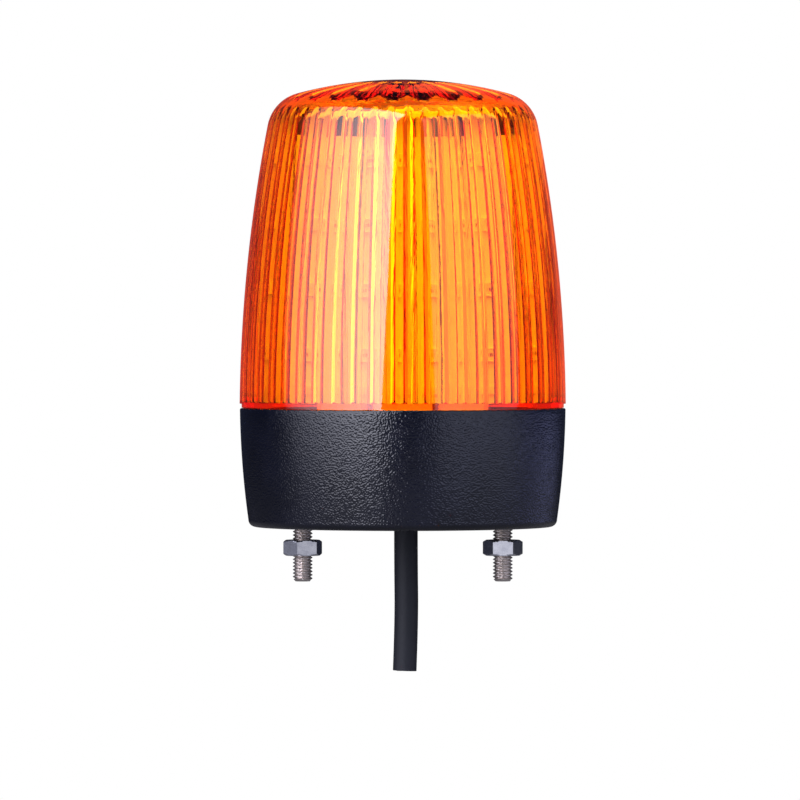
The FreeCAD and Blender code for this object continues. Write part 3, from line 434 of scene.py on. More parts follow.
def peg(x, radius):
    """A plain round peg that reaches past both sides of the floor, used to cut a hole."""
    low, high = -PEG_PAST, FLOOR + PEG_PAST
    rings = turned(np.array([radius, radius]), np.array([high, low]), even_angles(ROUND_COLUMNS))
    return placed(skin(rings, (0.0, 0.0, high), (0.0, 0.0, low)), shift=(x, 0.0, 0.0))


def bored(piece, pegs):
    """The piece with the pegs cut out of it."""
    cutter = build("cutter", pegs)
    hole = piece.modifiers.new("holes", "BOOLEAN")
    hole.operation = "DIFFERENCE"
    hole.solver = "EXACT"
    hole.object = cutter
    shown = piece.evaluated_get(bpy.context.evaluated_depsgraph_get())
    mesh = bpy.data.meshes.new_from_object(shown)
    piece.modifiers.clear()
    piece.data = mesh
    mesh.set_sharp_from_angle(angle=math.radians(CREASE))
    bpy.data.objects.remove(cutter)
    return piece


def post_shell(turn):
    """A round post under the driver board, with a blind hole for its screw."""
    radii = np.array([POST_PILOT, POST_PILOT, POST_RADIUS, POST_RADIUS])
    heights = np.array([POST_TOP - PILOT_DEPTH, POST_TOP, POST_TOP, FLOOR])
    rings = turned(radii, heights, even_angles(ROUND_COLUMNS))
    shell = skin(rings, (0.0, 0.0, POST_TOP - PILOT_DEPTH), (0.0, 0.0, FLOOR))
    return placed(placed(shell, shift=(POST_CIRCLE, 0.0, 0.0)), turn=turn)


def boss_shell(x):
    """A boss with a six-sided seat for a stud's head over the hole for its collar; its section closes."""
    angles = even_angles(HEXAGON_COLUMNS)
    seat = hexagon_radius(angles, ACROSS_FLATS + SEAT_CLEARANCE)
    wall = np.full(HEXAGON_COLUMNS, BOSS_RADIUS)
    hole = np.full(HEXAGON_COLUMNS, COLLAR_RADIUS)
    radius = np.array([seat, wall, wall, hole, hole, seat])
    height = np.array([HEAD_TOP, HEAD_TOP, FLOOR, FLOOR, COLLAR_TOP, COLLAR_TOP])
    rings = turned(radius, np.repeat(height[:, None], HEXAGON_COLUMNS, axis=1), angles)
    return placed(skin(rings, around=True), shift=(x, 0.0, 0.0))


def make_base_inside():
    """The posts and the stud seats that stand on the floor of the base."""
    shells = [post_shell(POST_START + 360.0 / POST_COUNT * step) for step in range(POST_COUNT)]
    shells += [boss_shell(x) for x in STUD_PLACES]
    finished(build("base_posts_and_seats", shells), "base", "base_black", grained_black())


def make_base():
    """The cup of the base, with holes in its floor for the studs and the cable's bush."""
    cup = build("base_cup", [skin(base_rings(), (0.0, 0.0, FLOOR), (0.0, 0.0, 0.0))])
    pegs = [peg(x, COLLAR_RADIUS) for x in STUD_PLACES]
    pegs.append(peg(CABLE_X, BUSH_RADIUS))
    bored(cup, pegs)
    finished(cup, "base", "base_black", grained_black())
    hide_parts("base_housing")


# Studs and nuts

STUD_RADIUS, STUD_ROOT, THREAD_PITCH = 2.0, 1.57, 0.7
STUD_END, COLLAR_TOP, HEAD_TOP = -11.1, 4.9, 7.7
ACROSS_FLATS = 7.0
NUT_TOP, NUT_BOTTOM = -2.7, -5.9
NUT_TURNS = (15.0, 0.0)
THREAD_FLAT, THREAD_STEEPNESS, THREAD_START, ROWS_IN_PITCH = 0.1, 1.35, -0.2, 10
STUD_CONE, HEAD_CHAMFER = 0.55, 0.4
NUT_CHAMFER, NUT_CONE = 0.12, 60.0
BORE_CREST_GAP, BORE_ROOT_GAP = 0.1, 0.08
FLARE_DEPTH, FLARE_SLOPE = 0.45, 1.6
HEXAGON_COLUMNS, NUT_ROWS, BORE_ROWS = 96, 25, 41
STUD_CREASE, NUT_CREASE = 32.0, 30.0


def hexagon_radius(angles, across_flats):
    """Distance from the middle of a hexagon to its edge, with a corner at angle nought."""
    sixth = math.pi / 3
    return across_flats / 2 / np.cos((angles % sixth) - sixth / 2)


def thread_radius(angles, heights, root, crest):
    """A right-hand screw thread: a flat-topped wave that climbs one pitch in each turn."""
    phase = heights[:, None] / THREAD_PITCH - angles / FULL_TURN
    wave = np.abs((phase % 1.0) * 2.0 - 1.0)
    return root + (crest - root) * np.clip((wave - THREAD_FLAT) * THREAD_STEEPNESS, 0.0, 1.0)


def stud_shell(x):
    """A hexagon head, a collar and a threaded shank whose end has a cone on it."""
    angles = even_angles(HEXAGON_COLUMNS)
    flats = hexagon_radius(angles, ACROSS_FLATS)
    chamfered = np.minimum(flats, ACROSS_FLATS / 2)
    heights = np.arange(THREAD_START, STUD_END, -THREAD_PITCH / ROWS_IN_PITCH)
    heights = np.append(heights, STUD_END)
    thread = thread_radius(angles, heights, STUD_ROOT, STUD_RADIUS)
    thread = np.minimum(thread, (STUD_RADIUS - STUD_CONE) + (heights[:, None] - STUD_END))
    plain = [
        (chamfered, HEAD_TOP),
        (flats, HEAD_TOP - HEAD_CHAMFER),
        (flats, COLLAR_TOP),
        (np.full(HEXAGON_COLUMNS, COLLAR_RADIUS), COLLAR_TOP),
        (np.full(HEXAGON_COLUMNS, COLLAR_RADIUS), 0.0),
        (np.full(HEXAGON_COLUMNS, STUD_ROOT), 0.0),
    ]
    radius = np.concatenate([np.array([row for row, _ in plain]), thread])
    height = np.concatenate([[high for _, high in plain], heights])
    rings = turned(radius, np.repeat(height[:, None], HEXAGON_COLUMNS, axis=1), angles)
    shell = skin(rings, (0.0, 0.0, HEAD_TOP), (0.0, 0.0, STUD_END))
    return placed(shell, shift=(x, 0.0, 0.0))


def nut_shell(x, turn):
    """A hexagon cut by a cone at both ends, with a threaded bore; the section closes on itself."""
    angles = even_angles(HEXAGON_COLUMNS)
    middle, half = (NUT_TOP + NUT_BOTTOM) / 2, (NUT_TOP - NUT_BOTTOM) / 2
    outer_heights = np.linspace(NUT_TOP, NUT_BOTTOM, NUT_ROWS)
    from_end = half - np.abs(outer_heights - middle)
    cone = ACROSS_FLATS / 2 - NUT_CHAMFER + from_end * math.tan(math.radians(NUT_CONE))
    outside = np.minimum(hexagon_radius(angles, ACROSS_FLATS), cone[:, None])
    bore_heights = np.linspace(NUT_BOTTOM, NUT_TOP, BORE_ROWS)
    bore = thread_radius(angles, bore_heights, STUD_ROOT + BORE_CREST_GAP, STUD_RADIUS + BORE_ROOT_GAP)
    flare = np.clip(FLARE_DEPTH - (half - np.abs(bore_heights - middle)), 0.0, None)
    bore = np.maximum(bore, STUD_ROOT + BORE_CREST_GAP + flare[:, None] * FLARE_SLOPE)
    radius = np.concatenate([outside, bore])
    height = np.concatenate([outer_heights, bore_heights])
    rings = turned(radius, np.repeat(height[:, None], HEXAGON_COLUMNS, axis=1), angles)
    return placed(skin(rings, around=True), turn=turn, shift=(x, 0.0, 0.0))


def make_studs_and_nuts():
    """The two studs as one piece, and as another the two nuts, each at its own turn."""
    studs = build("threaded_studs", [stud_shell(x) for x in STUD_PLACES], crease=STUD_CREASE)
    finished(studs, "base", "stud_steel", stud_steel())
    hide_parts("mounting_studs")
    nut_shells = [nut_shell(x, turn) for x, turn in zip(STUD_PLACES, NUT_TURNS)]
    nuts = build("hexagon_nuts", nut_shells, crease=NUT_CREASE)
    finished(nuts, "base", "nut_zinc", bright_zinc())
    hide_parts("mounting_nuts")


# LEDs

FACE_COUNT, TOWER_APOTHEM = 8, 17.0
LED_ROWS, LED_FIRST, LED_PITCH = 4, 34.7, 12.95
LED_WIDTH, LED_LENGTH, LED_HEIGHT, LED_OFFSET = 3.5, 2.8, 0.8, -1.0
LED_WINDOW, LED_CUP_DEPTH, LED_DIE = 1.2, 0.22, 0.36
LED_EDGE, CUP_TAPER, DIE_HEIGHT = 0.08, 0.15, 0.12
GEL_INSET, GEL_RISE, GEL_TOP, GEL_SUNK = 0.1, 0.08, 0.1, 0.02
LED_COLUMNS, CORNER_POWER = 32, 0.25
TOP_LED_COUNT, TOP_LED_CIRCLE, TOP_LED_SEAT, TOP_LED_TURN = 4, 9.5, 83.4, 90.0


def rounded_box_ring(half_x, half_y, height):
    """A rectangle with rounded corners: a superellipse, from powers of the cosine and sine of an angle."""
    angles = even_angles(LED_COLUMNS)
    x = half_x * np.sign(np.cos(angles)) * np.abs(np.cos(angles)) ** CORNER_POWER
    y = half_y * np.sign(np.sin(angles)) * np.abs(np.sin(angles)) ** CORNER_POWER
    return np.stack([x, y, np.full(LED_COLUMNS, height)], axis=-1)


def circle_ring(radius, height):
    """A level circle about the Z axis."""
    return turned(np.array([radius]), np.array([height]), even_angles(LED_COLUMNS))[0]


def led_shells():
    """A package with a round cup in its face, the gel that fills the cup, and the die in the gel."""
    x, y = LED_WIDTH / 2, LED_LENGTH / 2
    floor = LED_HEIGHT - LED_CUP_DEPTH
    package = [
        circle_ring(LED_WINDOW - CUP_TAPER, floor),
        circle_ring(LED_WINDOW, LED_HEIGHT),
        rounded_box_ring(x - LED_EDGE, y - LED_EDGE, LED_HEIGHT),
        rounded_box_ring(x, y, LED_HEIGHT - LED_EDGE),
        rounded_box_ring(x, y, 0.0),
    ]
    gel_top, gel_foot, die_top = floor + GEL_TOP, floor - GEL_SUNK, floor + DIE_HEIGHT
    gel = [
        circle_ring(LED_WINDOW - GEL_INSET, floor + GEL_RISE),
        circle_ring(LED_WINDOW - CUP_TAPER, gel_foot),
    ]
    die = [rounded_box_ring(LED_DIE, LED_DIE, die_top), rounded_box_ring(LED_DIE, LED_DIE, floor)]
    return [
        skin(np.array(package), (0.0, 0.0, floor), (0.0, 0.0, 0.0)),
        skin(np.array(gel), (0.0, 0.0, gel_top), (0.0, 0.0, gel_foot), finish=1),
        skin(np.array(die), (0.0, 0.0, die_top), (0.0, 0.0, floor), finish=2),
    ]


def facing_out(shell):
    """A shell that faces up, turned to face along X with its width along Y."""
    points, quads, triangles, finish = shell
    return points[:, [2, 0, 1]], quads, triangles, finish


def make_leds():
    """The same LED on every row of every board face, and in a ring on the top board."""
    on_side, on_top = [], []
    for shell in led_shells():
        outward = facing_out(shell)
        for face in range(FACE_COUNT):
            turn = 360.0 / FACE_COUNT * face
            for row in range(LED_ROWS):
                place = placed(outward, shift=(TOWER_APOTHEM, LED_OFFSET, LED_FIRST + LED_PITCH * row))
                on_side.append(placed(place, turn=turn))
        for step in range(TOP_LED_COUNT):
            place = placed(shell, turn=TOP_LED_TURN, shift=(TOP_LED_CIRCLE, 0.0, TOP_LED_SEAT))
            on_top.append(placed(place, turn=360.0 / TOP_LED_COUNT * step))
    for name, node, shells in (("side_leds", "leds", on_side), ("dome_leds", "top_leds", on_top)):
        piece = build(name, shells)
        finished(piece, "base", "led_package", led_package(), led_gel(), led_die())
        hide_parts(node)


# Supply cable

CABLE_ROUTE = [
    (0.65, 0.0, 2.0),
    (0.65, 0.0, -7.6),
    (0.80, 0.15, -18.6),
    (0.40, 0.05, -29.2),
]
CABLE_RADIUS = 2.4
CABLE_STEPS, CABLE_ROUNDNESS = 24, 10
CORE_RADIUS, COPPER_RADIUS, CORE_OFFSET = 0.75, 0.42, 0.85
CORE_SUNK, CORE_PROUD, COPPER_SUNK, COPPER_PROUD = 0.2, 0.04, 0.1, 0.06
CORE_COLUMNS = 24


def make_cable():
    """The cable on one smooth line, and the ends of its cores in the cut face."""
    curve = bpy.data.curves.new("cable", "CURVE")
    curve.dimensions = "3D"
    spline = curve.splines.new("NURBS")
    spline.points.add(len(CABLE_ROUTE) - 1)
    for point, place in zip(spline.points, CABLE_ROUTE):
        point.co = (*(MM * part for part in place), 1.0)
    spline.order_u = 3
    spline.use_endpoint_u = True
    curve.resolution_u = CABLE_STEPS
    curve.bevel_depth = CABLE_RADIUS * MM
    curve.bevel_resolution = CABLE_ROUNDNESS
    curve.use_fill_caps = True
    cable = link("cable", curve)
    finished(cable, "base", "cable_sheath", cable_sheath())
    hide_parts("supply_cable")
    ends = make_core_ends()


def make_core_ends():
    """Two cut cores, each a ring of insulation round copper, standing just proud of the cut face."""
    x, y, z = CABLE_ROUTE[-1]
    angles = even_angles(CORE_COLUMNS)
    shells = []
    for side, finish in ((-1, 0), (1, 1)):
        place = (x + side * CORE_OFFSET, y, 0.0)
        high, low = z + CORE_SUNK, z - CORE_PROUD
        radii = np.array([CORE_RADIUS, CORE_RADIUS, COPPER_RADIUS])
        rings = turned(radii, np.array([high, low, low]), angles)
        cover = skin(rings, (0.0, 0.0, high), (0.0, 0.0, low), finish=finish)
        shells.append(placed(cover, shift=place))
        high, low = z + COPPER_SUNK, z - COPPER_PROUD
        radii = np.array([COPPER_RADIUS, COPPER_RADIUS])
        rings = turned(radii, np.array([high, low]), angles)
        copper = skin(rings, (0.0, 0.0, high), (0.0, 0.0, low), finish=2)
        shells.append(placed(copper, shift=place))
    ends = build("cable_core_ends", shells)
    return finished(ends, "base", "core_brown", brown_core(), blue_core(), bare_copper())


# Materials

def new_group(name, inputs, outputs):
    """An empty node group with named sockets, and its inner input and output nodes."""
    group = bpy.data.node_groups.new(name, "ShaderNodeTree")
    for kind, label, value in inputs:
        socket = group.interface.new_socket(label, in_out="INPUT", socket_type=kind)
        if value is not None:
            socket.default_value = value
    for kind, label in outputs:
        group.interface.new_socket(label, in_out="OUTPUT", socket_type=kind)
    return group, group.nodes.new("NodeGroupInput"), group.nodes.new("NodeGroupOutput")


def moulded_surface():
    """Shared by every finish: two tones in soft clouds, fine grain, and a roughness that follows both."""
    if "moulded_surface" in bpy.data.node_groups:
        return bpy.data.node_groups["moulded_surface"]
    group, given, result = new_group(
        "moulded_surface",
        [
            ("NodeSocketVector", "Place", None),
            ("NodeSocketColor", "Colour", (0.5, 0.5, 0.5, 1.0)),
            ("NodeSocketColor", "Second Colour", (0.4, 0.4, 0.4, 1.0)),
            ("NodeSocketFloat", "Cloud Scale", 120.0),
            ("NodeSocketFloat", "Grain Scale", 2500.0),
            ("NodeSocketFloat", "Grain Detail", 3.0),
            ("NodeSocketFloat", "Smoothest", 0.3),
            ("NodeSocketFloat", "Roughest", 0.5),
        ],
        [("NodeSocketColor", "Colour"), ("NodeSocketFloat", "Roughness"), ("NodeSocketFloat", "Height")],
    )
    nodes, links = group.nodes, group.links
    clouds = nodes.new("ShaderNodeTexNoise")
    clouds.inputs["Detail"].default_value = 4.0
    grain = nodes.new("ShaderNodeTexNoise")
    grain.inputs["Roughness"].default_value = 0.65
    links.new(given.outputs["Place"], clouds.inputs["Vector"])
    links.new(given.outputs["Cloud Scale"], clouds.inputs["Scale"])
    links.new(given.outputs["Place"], grain.inputs["Vector"])
    links.new(given.outputs["Grain Scale"], grain.inputs["Scale"])
    links.new(given.outputs["Grain Detail"], grain.inputs["Detail"])
    blend = nodes.new("ShaderNodeMapRange")
    blend.inputs["From Min"].default_value = 0.35
    blend.inputs["From Max"].default_value = 0.65
    links.new(clouds.outputs["Fac"], blend.inputs["Value"])
    colours = nodes.new("ShaderNodeMix")
    colours.data_type = "RGBA"
    links.new(blend.outputs["Result"], colours.inputs["Factor"])
    links.new(given.outputs["Colour"], colours.inputs["A"])
    links.new(given.outputs["Second Colour"], colours.inputs["B"])
    both = nodes.new("ShaderNodeMath")
    both.operation = "MULTIPLY_ADD"
    both.inputs[1].default_value = 0.5
    links.new(clouds.outputs["Fac"], both.inputs[0])
    halved = nodes.new("ShaderNodeMath")
    halved.operation = "MULTIPLY"
    halved.inputs[1].default_value = 0.5
    links.new(grain.outputs["Fac"], halved.inputs[0])
    links.new(halved.outputs["Value"], both.inputs[2])
    rough = nodes.new("ShaderNodeMapRange")
    rough.inputs["From Min"].default_value = 0.3
    rough.inputs["From Max"].default_value = 0.7
    links.new(both.outputs["Value"], rough.inputs["Value"])
    links.new(given.outputs["Smoothest"], rough.inputs["To Min"])
    links.new(given.outputs["Roughest"], rough.inputs["To Max"])
    links.new(colours.outputs["Result"], result.inputs["Colour"])
    links.new(rough.outputs["Result"], result.inputs["Roughness"])
    links.new(grain.outputs["Fac"], result.inputs["Height"])
    return group


def finish_of(name, colour, second, smooth, rough, cloud=120.0, grain=2500.0, bump=0.1, depth=0.05,
              metal=0.0, detail=3.0):
    """A material from the shared surface: its two tones, its range of roughness and its grain."""
    label = name + "_finish"
    if label in bpy.data.materials:
        return bpy.data.materials[label]
    material = bpy.data.materials.new(label)
    material.use_nodes = True
    nodes, links = material.node_tree.nodes, material.node_tree.links
    shader = nodes["Principled BSDF"]
    shader.inputs["Metallic"].default_value = metal
    place = nodes.new("ShaderNodeTexCoord")
    surface = nodes.new("ShaderNodeGroup")
    surface.node_tree = moulded_surface()
    surface.inputs["Colour"].default_value = (*colour, 1.0)
    surface.inputs["Second Colour"].default_value = (*second, 1.0)
    surface.inputs["Cloud Scale"].default_value = cloud
    surface.inputs["Grain Scale"].default_value = grain
    surface.inputs["Grain Detail"].default_value = detail
    surface.inputs["Smoothest"].default_value = smooth
    surface.inputs["Roughest"].default_value = rough
    relief = nodes.new("ShaderNodeBump")
    relief.inputs["Strength"].default_value = bump
    relief.inputs["Distance"].default_value = depth * MM
    links.new(place.outputs["Object"], surface.inputs["Place"])
    links.new(surface.outputs["Colour"], shader.inputs["Base Color"])
    links.new(surface.outputs["Roughness"], shader.inputs["Roughness"])
    links.new(surface.outputs["Height"], relief.inputs["Height"])
    links.new(relief.outputs["Normal"], shader.inputs["Normal"])
    return material


DRAW_LINE_SCALE = (1700.0, 1700.0, 4.0)
DRAW_LINE_DEPTH = 0.05
AMBER_IOR, AMBER_DENSITY = 1.585, 2500.0
AMBER_BODY = (0.998, 0.905, 0.0, 1.0)
AMBER_SHADE = (0.75, 0.88, 0.20, 1.0)


def amber_lens():
    """Clear amber plastic: it absorbs blue and some green along the way, and lets lamps through."""
    material = finish_of("amber_lens", (1.0, 0.87, 0.25), (1.0, 0.85, 0.22), 0.02, 0.05, bump=0.02)
    nodes, links = material.node_tree.nodes, material.node_tree.links
    shader = nodes["Principled BSDF"]
    add_draw_lines(nodes, links, shader)
    shader.inputs["Transmission Weight"].default_value = 1.0
    shader.inputs["IOR"].default_value = AMBER_IOR
    output = nodes["Material Output"]
    body = nodes.new("ShaderNodeVolumeAbsorption")
    body.inputs["Color"].default_value = AMBER_BODY
    body.inputs["Density"].default_value = AMBER_DENSITY
    links.new(body.outputs["Volume"], output.inputs["Volume"])
    clear = nodes.new("ShaderNodeBsdfTransparent")
    clear.inputs["Color"].default_value = AMBER_SHADE
    path = nodes.new("ShaderNodeLightPath")
    either = nodes.new("ShaderNodeMixShader")
    links.new(path.outputs["Is Shadow Ray"], either.inputs["Fac"])
    links.new(shader.outputs["BSDF"], either.inputs[1])
    links.new(clear.outputs["BSDF"], either.inputs[2])
    links.new(either.outputs["Shader"], output.inputs["Surface"])
    return material


def add_draw_lines(nodes, links, shader):
    """Faint upright lines on the inside of the lens, left by the mould: noise pulled out along Z."""
    stretch = nodes.new("ShaderNodeMapping")
    stretch.inputs["Scale"].default_value = DRAW_LINE_SCALE
    lines = nodes.new("ShaderNodeTexNoise")
    lines.inputs["Scale"].default_value = 1.0
    inside = nodes.new("ShaderNodeAttribute")
    inside.attribute_name = "inside"
    masked = nodes.new("ShaderNodeMath")
    masked.operation = "MULTIPLY"
    relief = nodes.new("ShaderNodeBump")
    relief.inputs["Distance"].default_value = DRAW_LINE_DEPTH * MM
    links.new(nodes["Texture Coordinate"].outputs["Object"], stretch.inputs["Vector"])
    links.new(stretch.outputs["Vector"], lines.inputs["Vector"])
    links.new(lines.outputs["Fac"], masked.inputs[0])
    links.new(inside.outputs["Fac"], masked.inputs[1])
    links.new(masked.outputs["Value"], relief.inputs["Height"])
    links.new(nodes["Bump"].outputs["Normal"], relief.inputs["Normal"])
    links.new(relief.outputs["Normal"], shader.inputs["Normal"])


def grained_black():
    """Black plastic with the coarse grain of its mould."""
    return finish_of("grained_black", (0.0017, 0.0021, 0.0052), (0.0030, 0.0035, 0.0080), 0.10, 0.20,
                     grain=2900.0, bump=1.0, depth=0.075, detail=0.0)


def stud_steel():
    """Plain steel of the studs, a little dull."""
    return finish_of("stud_steel", (0.70, 0.64, 0.60), (0.56, 0.51, 0.48), 0.26, 0.40,
                     cloud=900.0, grain=5000.0, metal=0.95)


def bright_zinc():
    """Bright zinc plating of the nuts."""
    return finish_of("bright_zinc", (0.66, 0.67, 0.72), (0.55, 0.56, 0.62), 0.12, 0.22,
                     cloud=700.0, grain=4000.0, metal=0.95)


def cable_sheath():
    """Dull black plastic with a weaker shine than most."""
    material = finish_of("cable_sheath", (0.005, 0.006, 0.010), (0.008, 0.009, 0.014), 0.58, 0.70,
                         bump=0.15)
    material.node_tree.nodes["Principled BSDF"].inputs["Specular IOR Level"].default_value = 0.36
    return material


def brown_core():
    """Brown insulation of one core."""
    return finish_of("brown_core", (0.13, 0.045, 0.018), (0.10, 0.035, 0.014), 0.35, 0.45)


def blue_core():
    """Blue insulation of the other core."""
    return finish_of("blue_core", (0.02, 0.09, 0.35), (0.02, 0.07, 0.28), 0.35, 0.45)


def bare_copper():
    """Copper in the cut ends of the cores."""
    return finish_of("bare_copper", (0.80, 0.40, 0.25), (0.65, 0.30, 0.18), 0.25, 0.4, metal=1.0)


def white_laminate():
    """White boards that carry the LEDs."""
    return finish_of("white_laminate", (0.86, 0.86, 0.83), (0.80, 0.80, 0.76), 0.3, 0.42, cloud=300.0)


def carrier_painted_shade():
    """The carrier, painted dark red-brown: painted shade for the dark inside of the tower seen through the
    gaps between the boards, tinted red to stand in for amber light coming through the far wall of the lens.
    """
    return finish_of("carrier_painted_shade", (0.220, 0.100, 0.070), (0.170, 0.078, 0.055), 0.4, 0.55)


def green_laminate():
    """Green board of the driver."""
    return finish_of("green_laminate", (0.015, 0.12, 0.04), (0.012, 0.09, 0.03), 0.3, 0.42, cloud=300.0)


def seal_rubber():
    """Black rubber of the seal and the bush."""
    return finish_of("seal_rubber", (0.015, 0.015, 0.016), (0.022, 0.022, 0.024), 0.55, 0.75)


def gasket_foam():
    """Black foam with a rough skin."""
    return finish_of("gasket_foam", (0.02, 0.02, 0.021), (0.03, 0.03, 0.032), 0.8, 0.95, grain=1500.0,
                     bump=0.6, depth=0.2)


def solder_tin():
    """Bright solder."""
    return finish_of("solder_tin", (0.70, 0.70, 0.72), (0.60, 0.60, 0.63), 0.15, 0.3, metal=1.0)


def tie_nylon():
    """Pale nylon of the tie."""
    return finish_of("tie_nylon", (0.72, 0.71, 0.66), (0.66, 0.65, 0.60), 0.4, 0.5)


def screw_steel():
    """Steel of the small screws."""
    return finish_of("screw_steel", (0.62, 0.62, 0.62), (0.50, 0.50, 0.51), 0.22, 0.38, metal=1.0)


def capacitor_can():
    """Dark blue sleeve of the capacitor."""
    return finish_of("capacitor_can", (0.02, 0.03, 0.10), (0.015, 0.022, 0.08), 0.25, 0.35)


def choke_ferrite():
    """Dark grey ferrite of the choke."""
    return finish_of("choke_ferrite", (0.03, 0.03, 0.032), (0.05, 0.05, 0.052), 0.5, 0.7)


def package_black():
    """Black plastic of the rectifier and the chip."""
    return finish_of("package_black", (0.014, 0.014, 0.015), (0.02, 0.02, 0.021), 0.45, 0.6)


def fuse_ceramic():
    """Cream ceramic of the fuse."""
    return finish_of("fuse_ceramic", (0.70, 0.66, 0.56), (0.62, 0.58, 0.49), 0.35, 0.5)


def led_package():
    """White plastic of the LEDs."""
    return finish_of("led_package", (0.84, 0.84, 0.80), (0.80, 0.79, 0.72), 0.25, 0.4)


def led_gel():
    """Glossy cream gel in the cup of each LED."""
    return finish_of("led_gel", (0.80, 0.78, 0.66), (0.74, 0.71, 0.58), 0.05, 0.12)


def led_die():
    """Reddish brown die in the gel."""
    return finish_of("led_die", (0.30, 0.14, 0.08), (0.24, 0.11, 0.06), 0.2, 0.3)


def resistor_chip():
    """Pale chips of the resistors."""
    return finish_of("resistor_chip", (0.80, 0.80, 0.76), (0.72, 0.72, 0.68), 0.3, 0.45)


NODE_FINISHES = {
    "lens_seal": seal_rubber,
    "base_gasket": gasket_foam,
    "cable_grommet": seal_rubber,
    "cable_tail": cable_sheath,
    "core_brown": brown_core,
    "core_blue": blue_core,
    "core_solder": solder_tin,
    "cable_tie": tie_nylon,
    "driver_board": green_laminate,
    "board_screws": screw_steel,
    "board_solder": solder_tin,
    "storage_capacitor": capacitor_can,
    "filter_choke": choke_ferrite,
    "bridge_rectifier": package_black,
    "driver_chip": package_black,
    "input_fuse": fuse_ceramic,
    # The carrier's colour is painted shade of the tower's inside, tinted red for light through the lens
    "led_carrier": carrier_painted_shade,
    "led_resistors": resistor_chip,
    "top_board": white_laminate,
    "tower_screw": screw_steel,
}


def dress_nodes():
    """Give each node that is shown as it is its own finish."""
    for name, finish in NODE_FINISHES.items():
        paint(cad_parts[name], finish())
    for number in range(1, FACE_COUNT + 1):
        paint(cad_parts[f"led_board_{number}"], white_laminate())


def paint(node, material):
    """Give a node of the frame one material in place of its own."""
    node.data.materials.clear()
    node.data.materials.append(material)


# Studio

FLOOR_LEVEL = -120.0
FLOOR_SIZE = 6000.0
LAMP_DISTANCE, LAMP_AIM = 1000.0, 55.0
EVEN = (1.0, 1.0)
WHITE = (1.0, 1.0, 1.0)


def make_floor():
    """A level floor below the cable's end: pale to the camera, dark to the part, clear from underneath."""
    corners = np.array([(-1, -1), (1, -1), (1, 1), (-1, 1)]) * FLOOR_SIZE / 2
    points = np.column_stack([corners, np.full(4, FLOOR_LEVEL)]) * MM
    mesh = bpy.data.meshes.new("floor")
    mesh.from_pydata(points.tolist(), [], [(0, 1, 2, 3)])
    floor = link("floor", mesh)
    material = finish_of("pale_floor", (0.07, 0.07, 0.075), (0.06, 0.06, 0.065), 0.6, 0.7)
    nodes, links = material.node_tree.nodes, material.node_tree.links
    glow = nodes.new("ShaderNodeEmission")
    path = nodes.new("ShaderNodeLightPath")
    either = nodes.new("ShaderNodeMixShader")
    links.new(path.outputs["Is Camera Ray"], either.inputs["Fac"])
    links.new(nodes["Principled BSDF"].outputs["BSDF"], either.inputs[1])
    links.new(glow.outputs["Emission"], either.inputs[2])
    side = nodes.new("ShaderNodeNewGeometry")
    clear = nodes.new("ShaderNodeBsdfTransparent")
    one_sided = nodes.new("ShaderNodeMixShader")
    links.new(side.outputs["Backfacing"], one_sided.inputs["Fac"])
    links.new(either.outputs["Shader"], one_sided.inputs[1])
    links.new(clear.outputs["BSDF"], one_sided.inputs[2])
    links.new(one_sided.outputs["Shader"], nodes["Material Output"].inputs["Surface"])
    mesh.materials.append(material)


def softbox(name, azimuths, elevations, radiance, fade, colour=WHITE):
    """A flat lamp that fills a range of directions seen from the lens, left of the camera being negative.

    Its light changes from one share to the other across its width.
    """
    distance = LAMP_DISTANCE * MM
    azimuth = math.radians(sum(azimuths) / 2)
    elevation = math.radians(sum(elevations) / 2)
    width = 2 * distance * math.tan(math.radians(azimuths[1] - azimuths[0]) / 2)
    height = 2 * distance * math.tan(math.radians(elevations[1] - elevations[0]) / 2)
    lamp = bpy.data.lights.new(name, "AREA")
    lamp.shape = "RECTANGLE"
    lamp.color = colour
    lamp.size = width
    lamp.size_y = height
    lamp.energy = radiance * width * height * math.pi
    lamp.use_nodes = True
    nodes, links = lamp.node_tree.nodes, lamp.node_tree.links
    across = nodes.new("ShaderNodeNewGeometry")
    parts = nodes.new("ShaderNodeSeparateXYZ")
    strength = nodes.new("ShaderNodeMapRange")
    strength.inputs["To Min"].default_value = fade[0]
    strength.inputs["To Max"].default_value = fade[1]
    links.new(across.outputs["Parametric"], parts.inputs["Vector"])
    links.new(parts.outputs["X"], strength.inputs["Value"])
    links.new(strength.outputs["Result"], nodes["Emission"].inputs["Strength"])
    away = (
        math.sin(azimuth) * math.cos(elevation),
        -math.cos(azimuth) * math.cos(elevation),
        math.sin(elevation),
    )
    lamp_object = bpy.data.objects.new(name, lamp)
    lamp_object.location = [distance * part for part in away]
    lamp_object.location.z += LAMP_AIM * MM
    lamp_object.rotation_euler = (math.pi / 2 - elevation, 0.0, azimuth)
    bpy.context.collection.objects.link(lamp_object)
    return lamp_object


def light_pieces(lamp, names, state="INCLUDE"):
    """Let the lamp reach only the pieces that are named, or with EXCLUDE all pieces but those."""
    pieces = bpy.data.collections.new(lamp.name + "_pieces")
    for name in names:
        pieces.objects.link(bpy.data.objects[name])
    for item in pieces.collection_objects:
        item.light_linking.link_state = state
    lamp.light_linking.receiver_collection = pieces


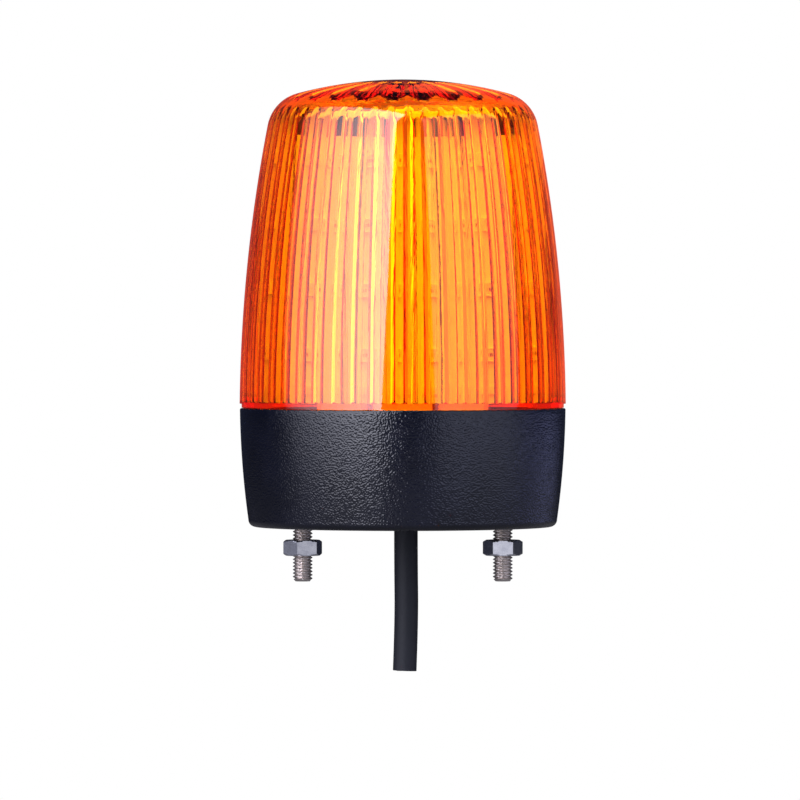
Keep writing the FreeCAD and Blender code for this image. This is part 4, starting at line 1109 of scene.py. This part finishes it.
def light_world():
    """White behind the part, warm through the lens, and dim blue-grey in reflections and soft light."""
    world = bpy.data.worlds.new("studio")
    world.use_nodes = True
    bpy.context.scene.world = world
    nodes, links = world.node_tree.nodes, world.node_tree.links
    white = nodes["Background"]
    white.inputs["Color"].default_value = (1.0, 1.0, 1.0, 1.0)
    white.inputs["Strength"].default_value = 1.0
    dim = nodes.new("ShaderNodeBackground")
    dim.inputs["Color"].default_value = (0.020, 0.024, 0.045, 1.0)
    dim.inputs["Strength"].default_value = 1.0
    warm = nodes.new("ShaderNodeBackground")
    warm.inputs["Color"].default_value = (0.82, 0.40, 0.30, 1.0)
    path = nodes.new("ShaderNodeLightPath")
    through = nodes.new("ShaderNodeMixShader")
    links.new(path.outputs["Is Transmission Ray"], through.inputs["Fac"])
    links.new(dim.outputs["Background"], through.inputs[1])
    links.new(warm.outputs["Background"], through.inputs[2])
    either = nodes.new("ShaderNodeMixShader")
    links.new(path.outputs["Is Camera Ray"], either.inputs["Fac"])
    links.new(through.outputs["Shader"], either.inputs[1])
    links.new(white.outputs["Background"], either.inputs[2])
    links.new(either.outputs["Shader"], nodes["World Output"].inputs["Surface"])


def set_lamps():
    """Large soft lamps left, right and above, and smaller ones that reach only some of the pieces."""
    softbox("left_softbox", (-95.0, -11.0), (-8.0, 60.0), 6.5, (0.02, 1.0), (0.97, 0.98, 1.14))
    right = softbox("right_softbox", (21.0, 90.0), (-5.0, 40.0), 0.95, (1.0, 0.5), (0.98, 1.0, 1.25))
    low = softbox("right_low_softbox", (21.0, 90.0), (-14.0, -5.0), 1.8, (1.0, 0.5), (0.86, 0.93, 1.30))
    for lamp in (right, low):
        light_pieces(lamp, ["hexagon_nuts"], "EXCLUDE")
    high = softbox("high_softbox", (-10.0, 70.0), (48.0, 85.0), 11.5, (0.7, 1.0))
    fill = softbox("right_fill_softbox", (50.0, 120.0), (5.0, 50.0), 3.4, EVEN)
    for lamp in (high, fill):
        lamp.visible_glossy = False
    side = softbox("right_side_panel", (88.0, 140.0), (-24.0, -4.0), 0.9, (1.0, 0.6), (0.60, 0.65, 1.30))
    light_pieces(side, ["base_cup"])
    front = softbox("front_softbox", (-14.0, 40.0), (-24.0, 16.0), 1.05, (1.0, 0.45), (0.98, 0.98, 1.06))
    light_pieces(front, ["hexagon_nuts", "threaded_studs"])
    left_edge = softbox("left_edge_softbox", (-178.0, -148.0), (-20.0, 50.0), 0.45, EVEN, (1.0, 0.08, 0.02))
    light_pieces(left_edge, ["lens_shell"])
    right_edge = softbox("right_edge_softbox", (148.0, 178.0), (-20.0, 50.0), 0.8, EVEN, (1.0, 0.14, 0.05))
    light_pieces(right_edge, ["lens_shell"])


def set_studio():
    """Floor, background and lamps, plain tones, and enough bounces for light to cross the lens."""
    make_floor()
    light_world()
    set_lamps()
    scene = bpy.context.scene
    scene.view_settings.view_transform = "Standard"
    scene.cycles.max_bounces = 24
    scene.cycles.transmission_bounces = 20
    scene.cycles.transparent_max_bounces = 24


set_camera()
make_cable()
make_lens()
make_base()
make_base_inside()
make_studs_and_nuts()
make_leds()
dress_nodes()
set_studio()
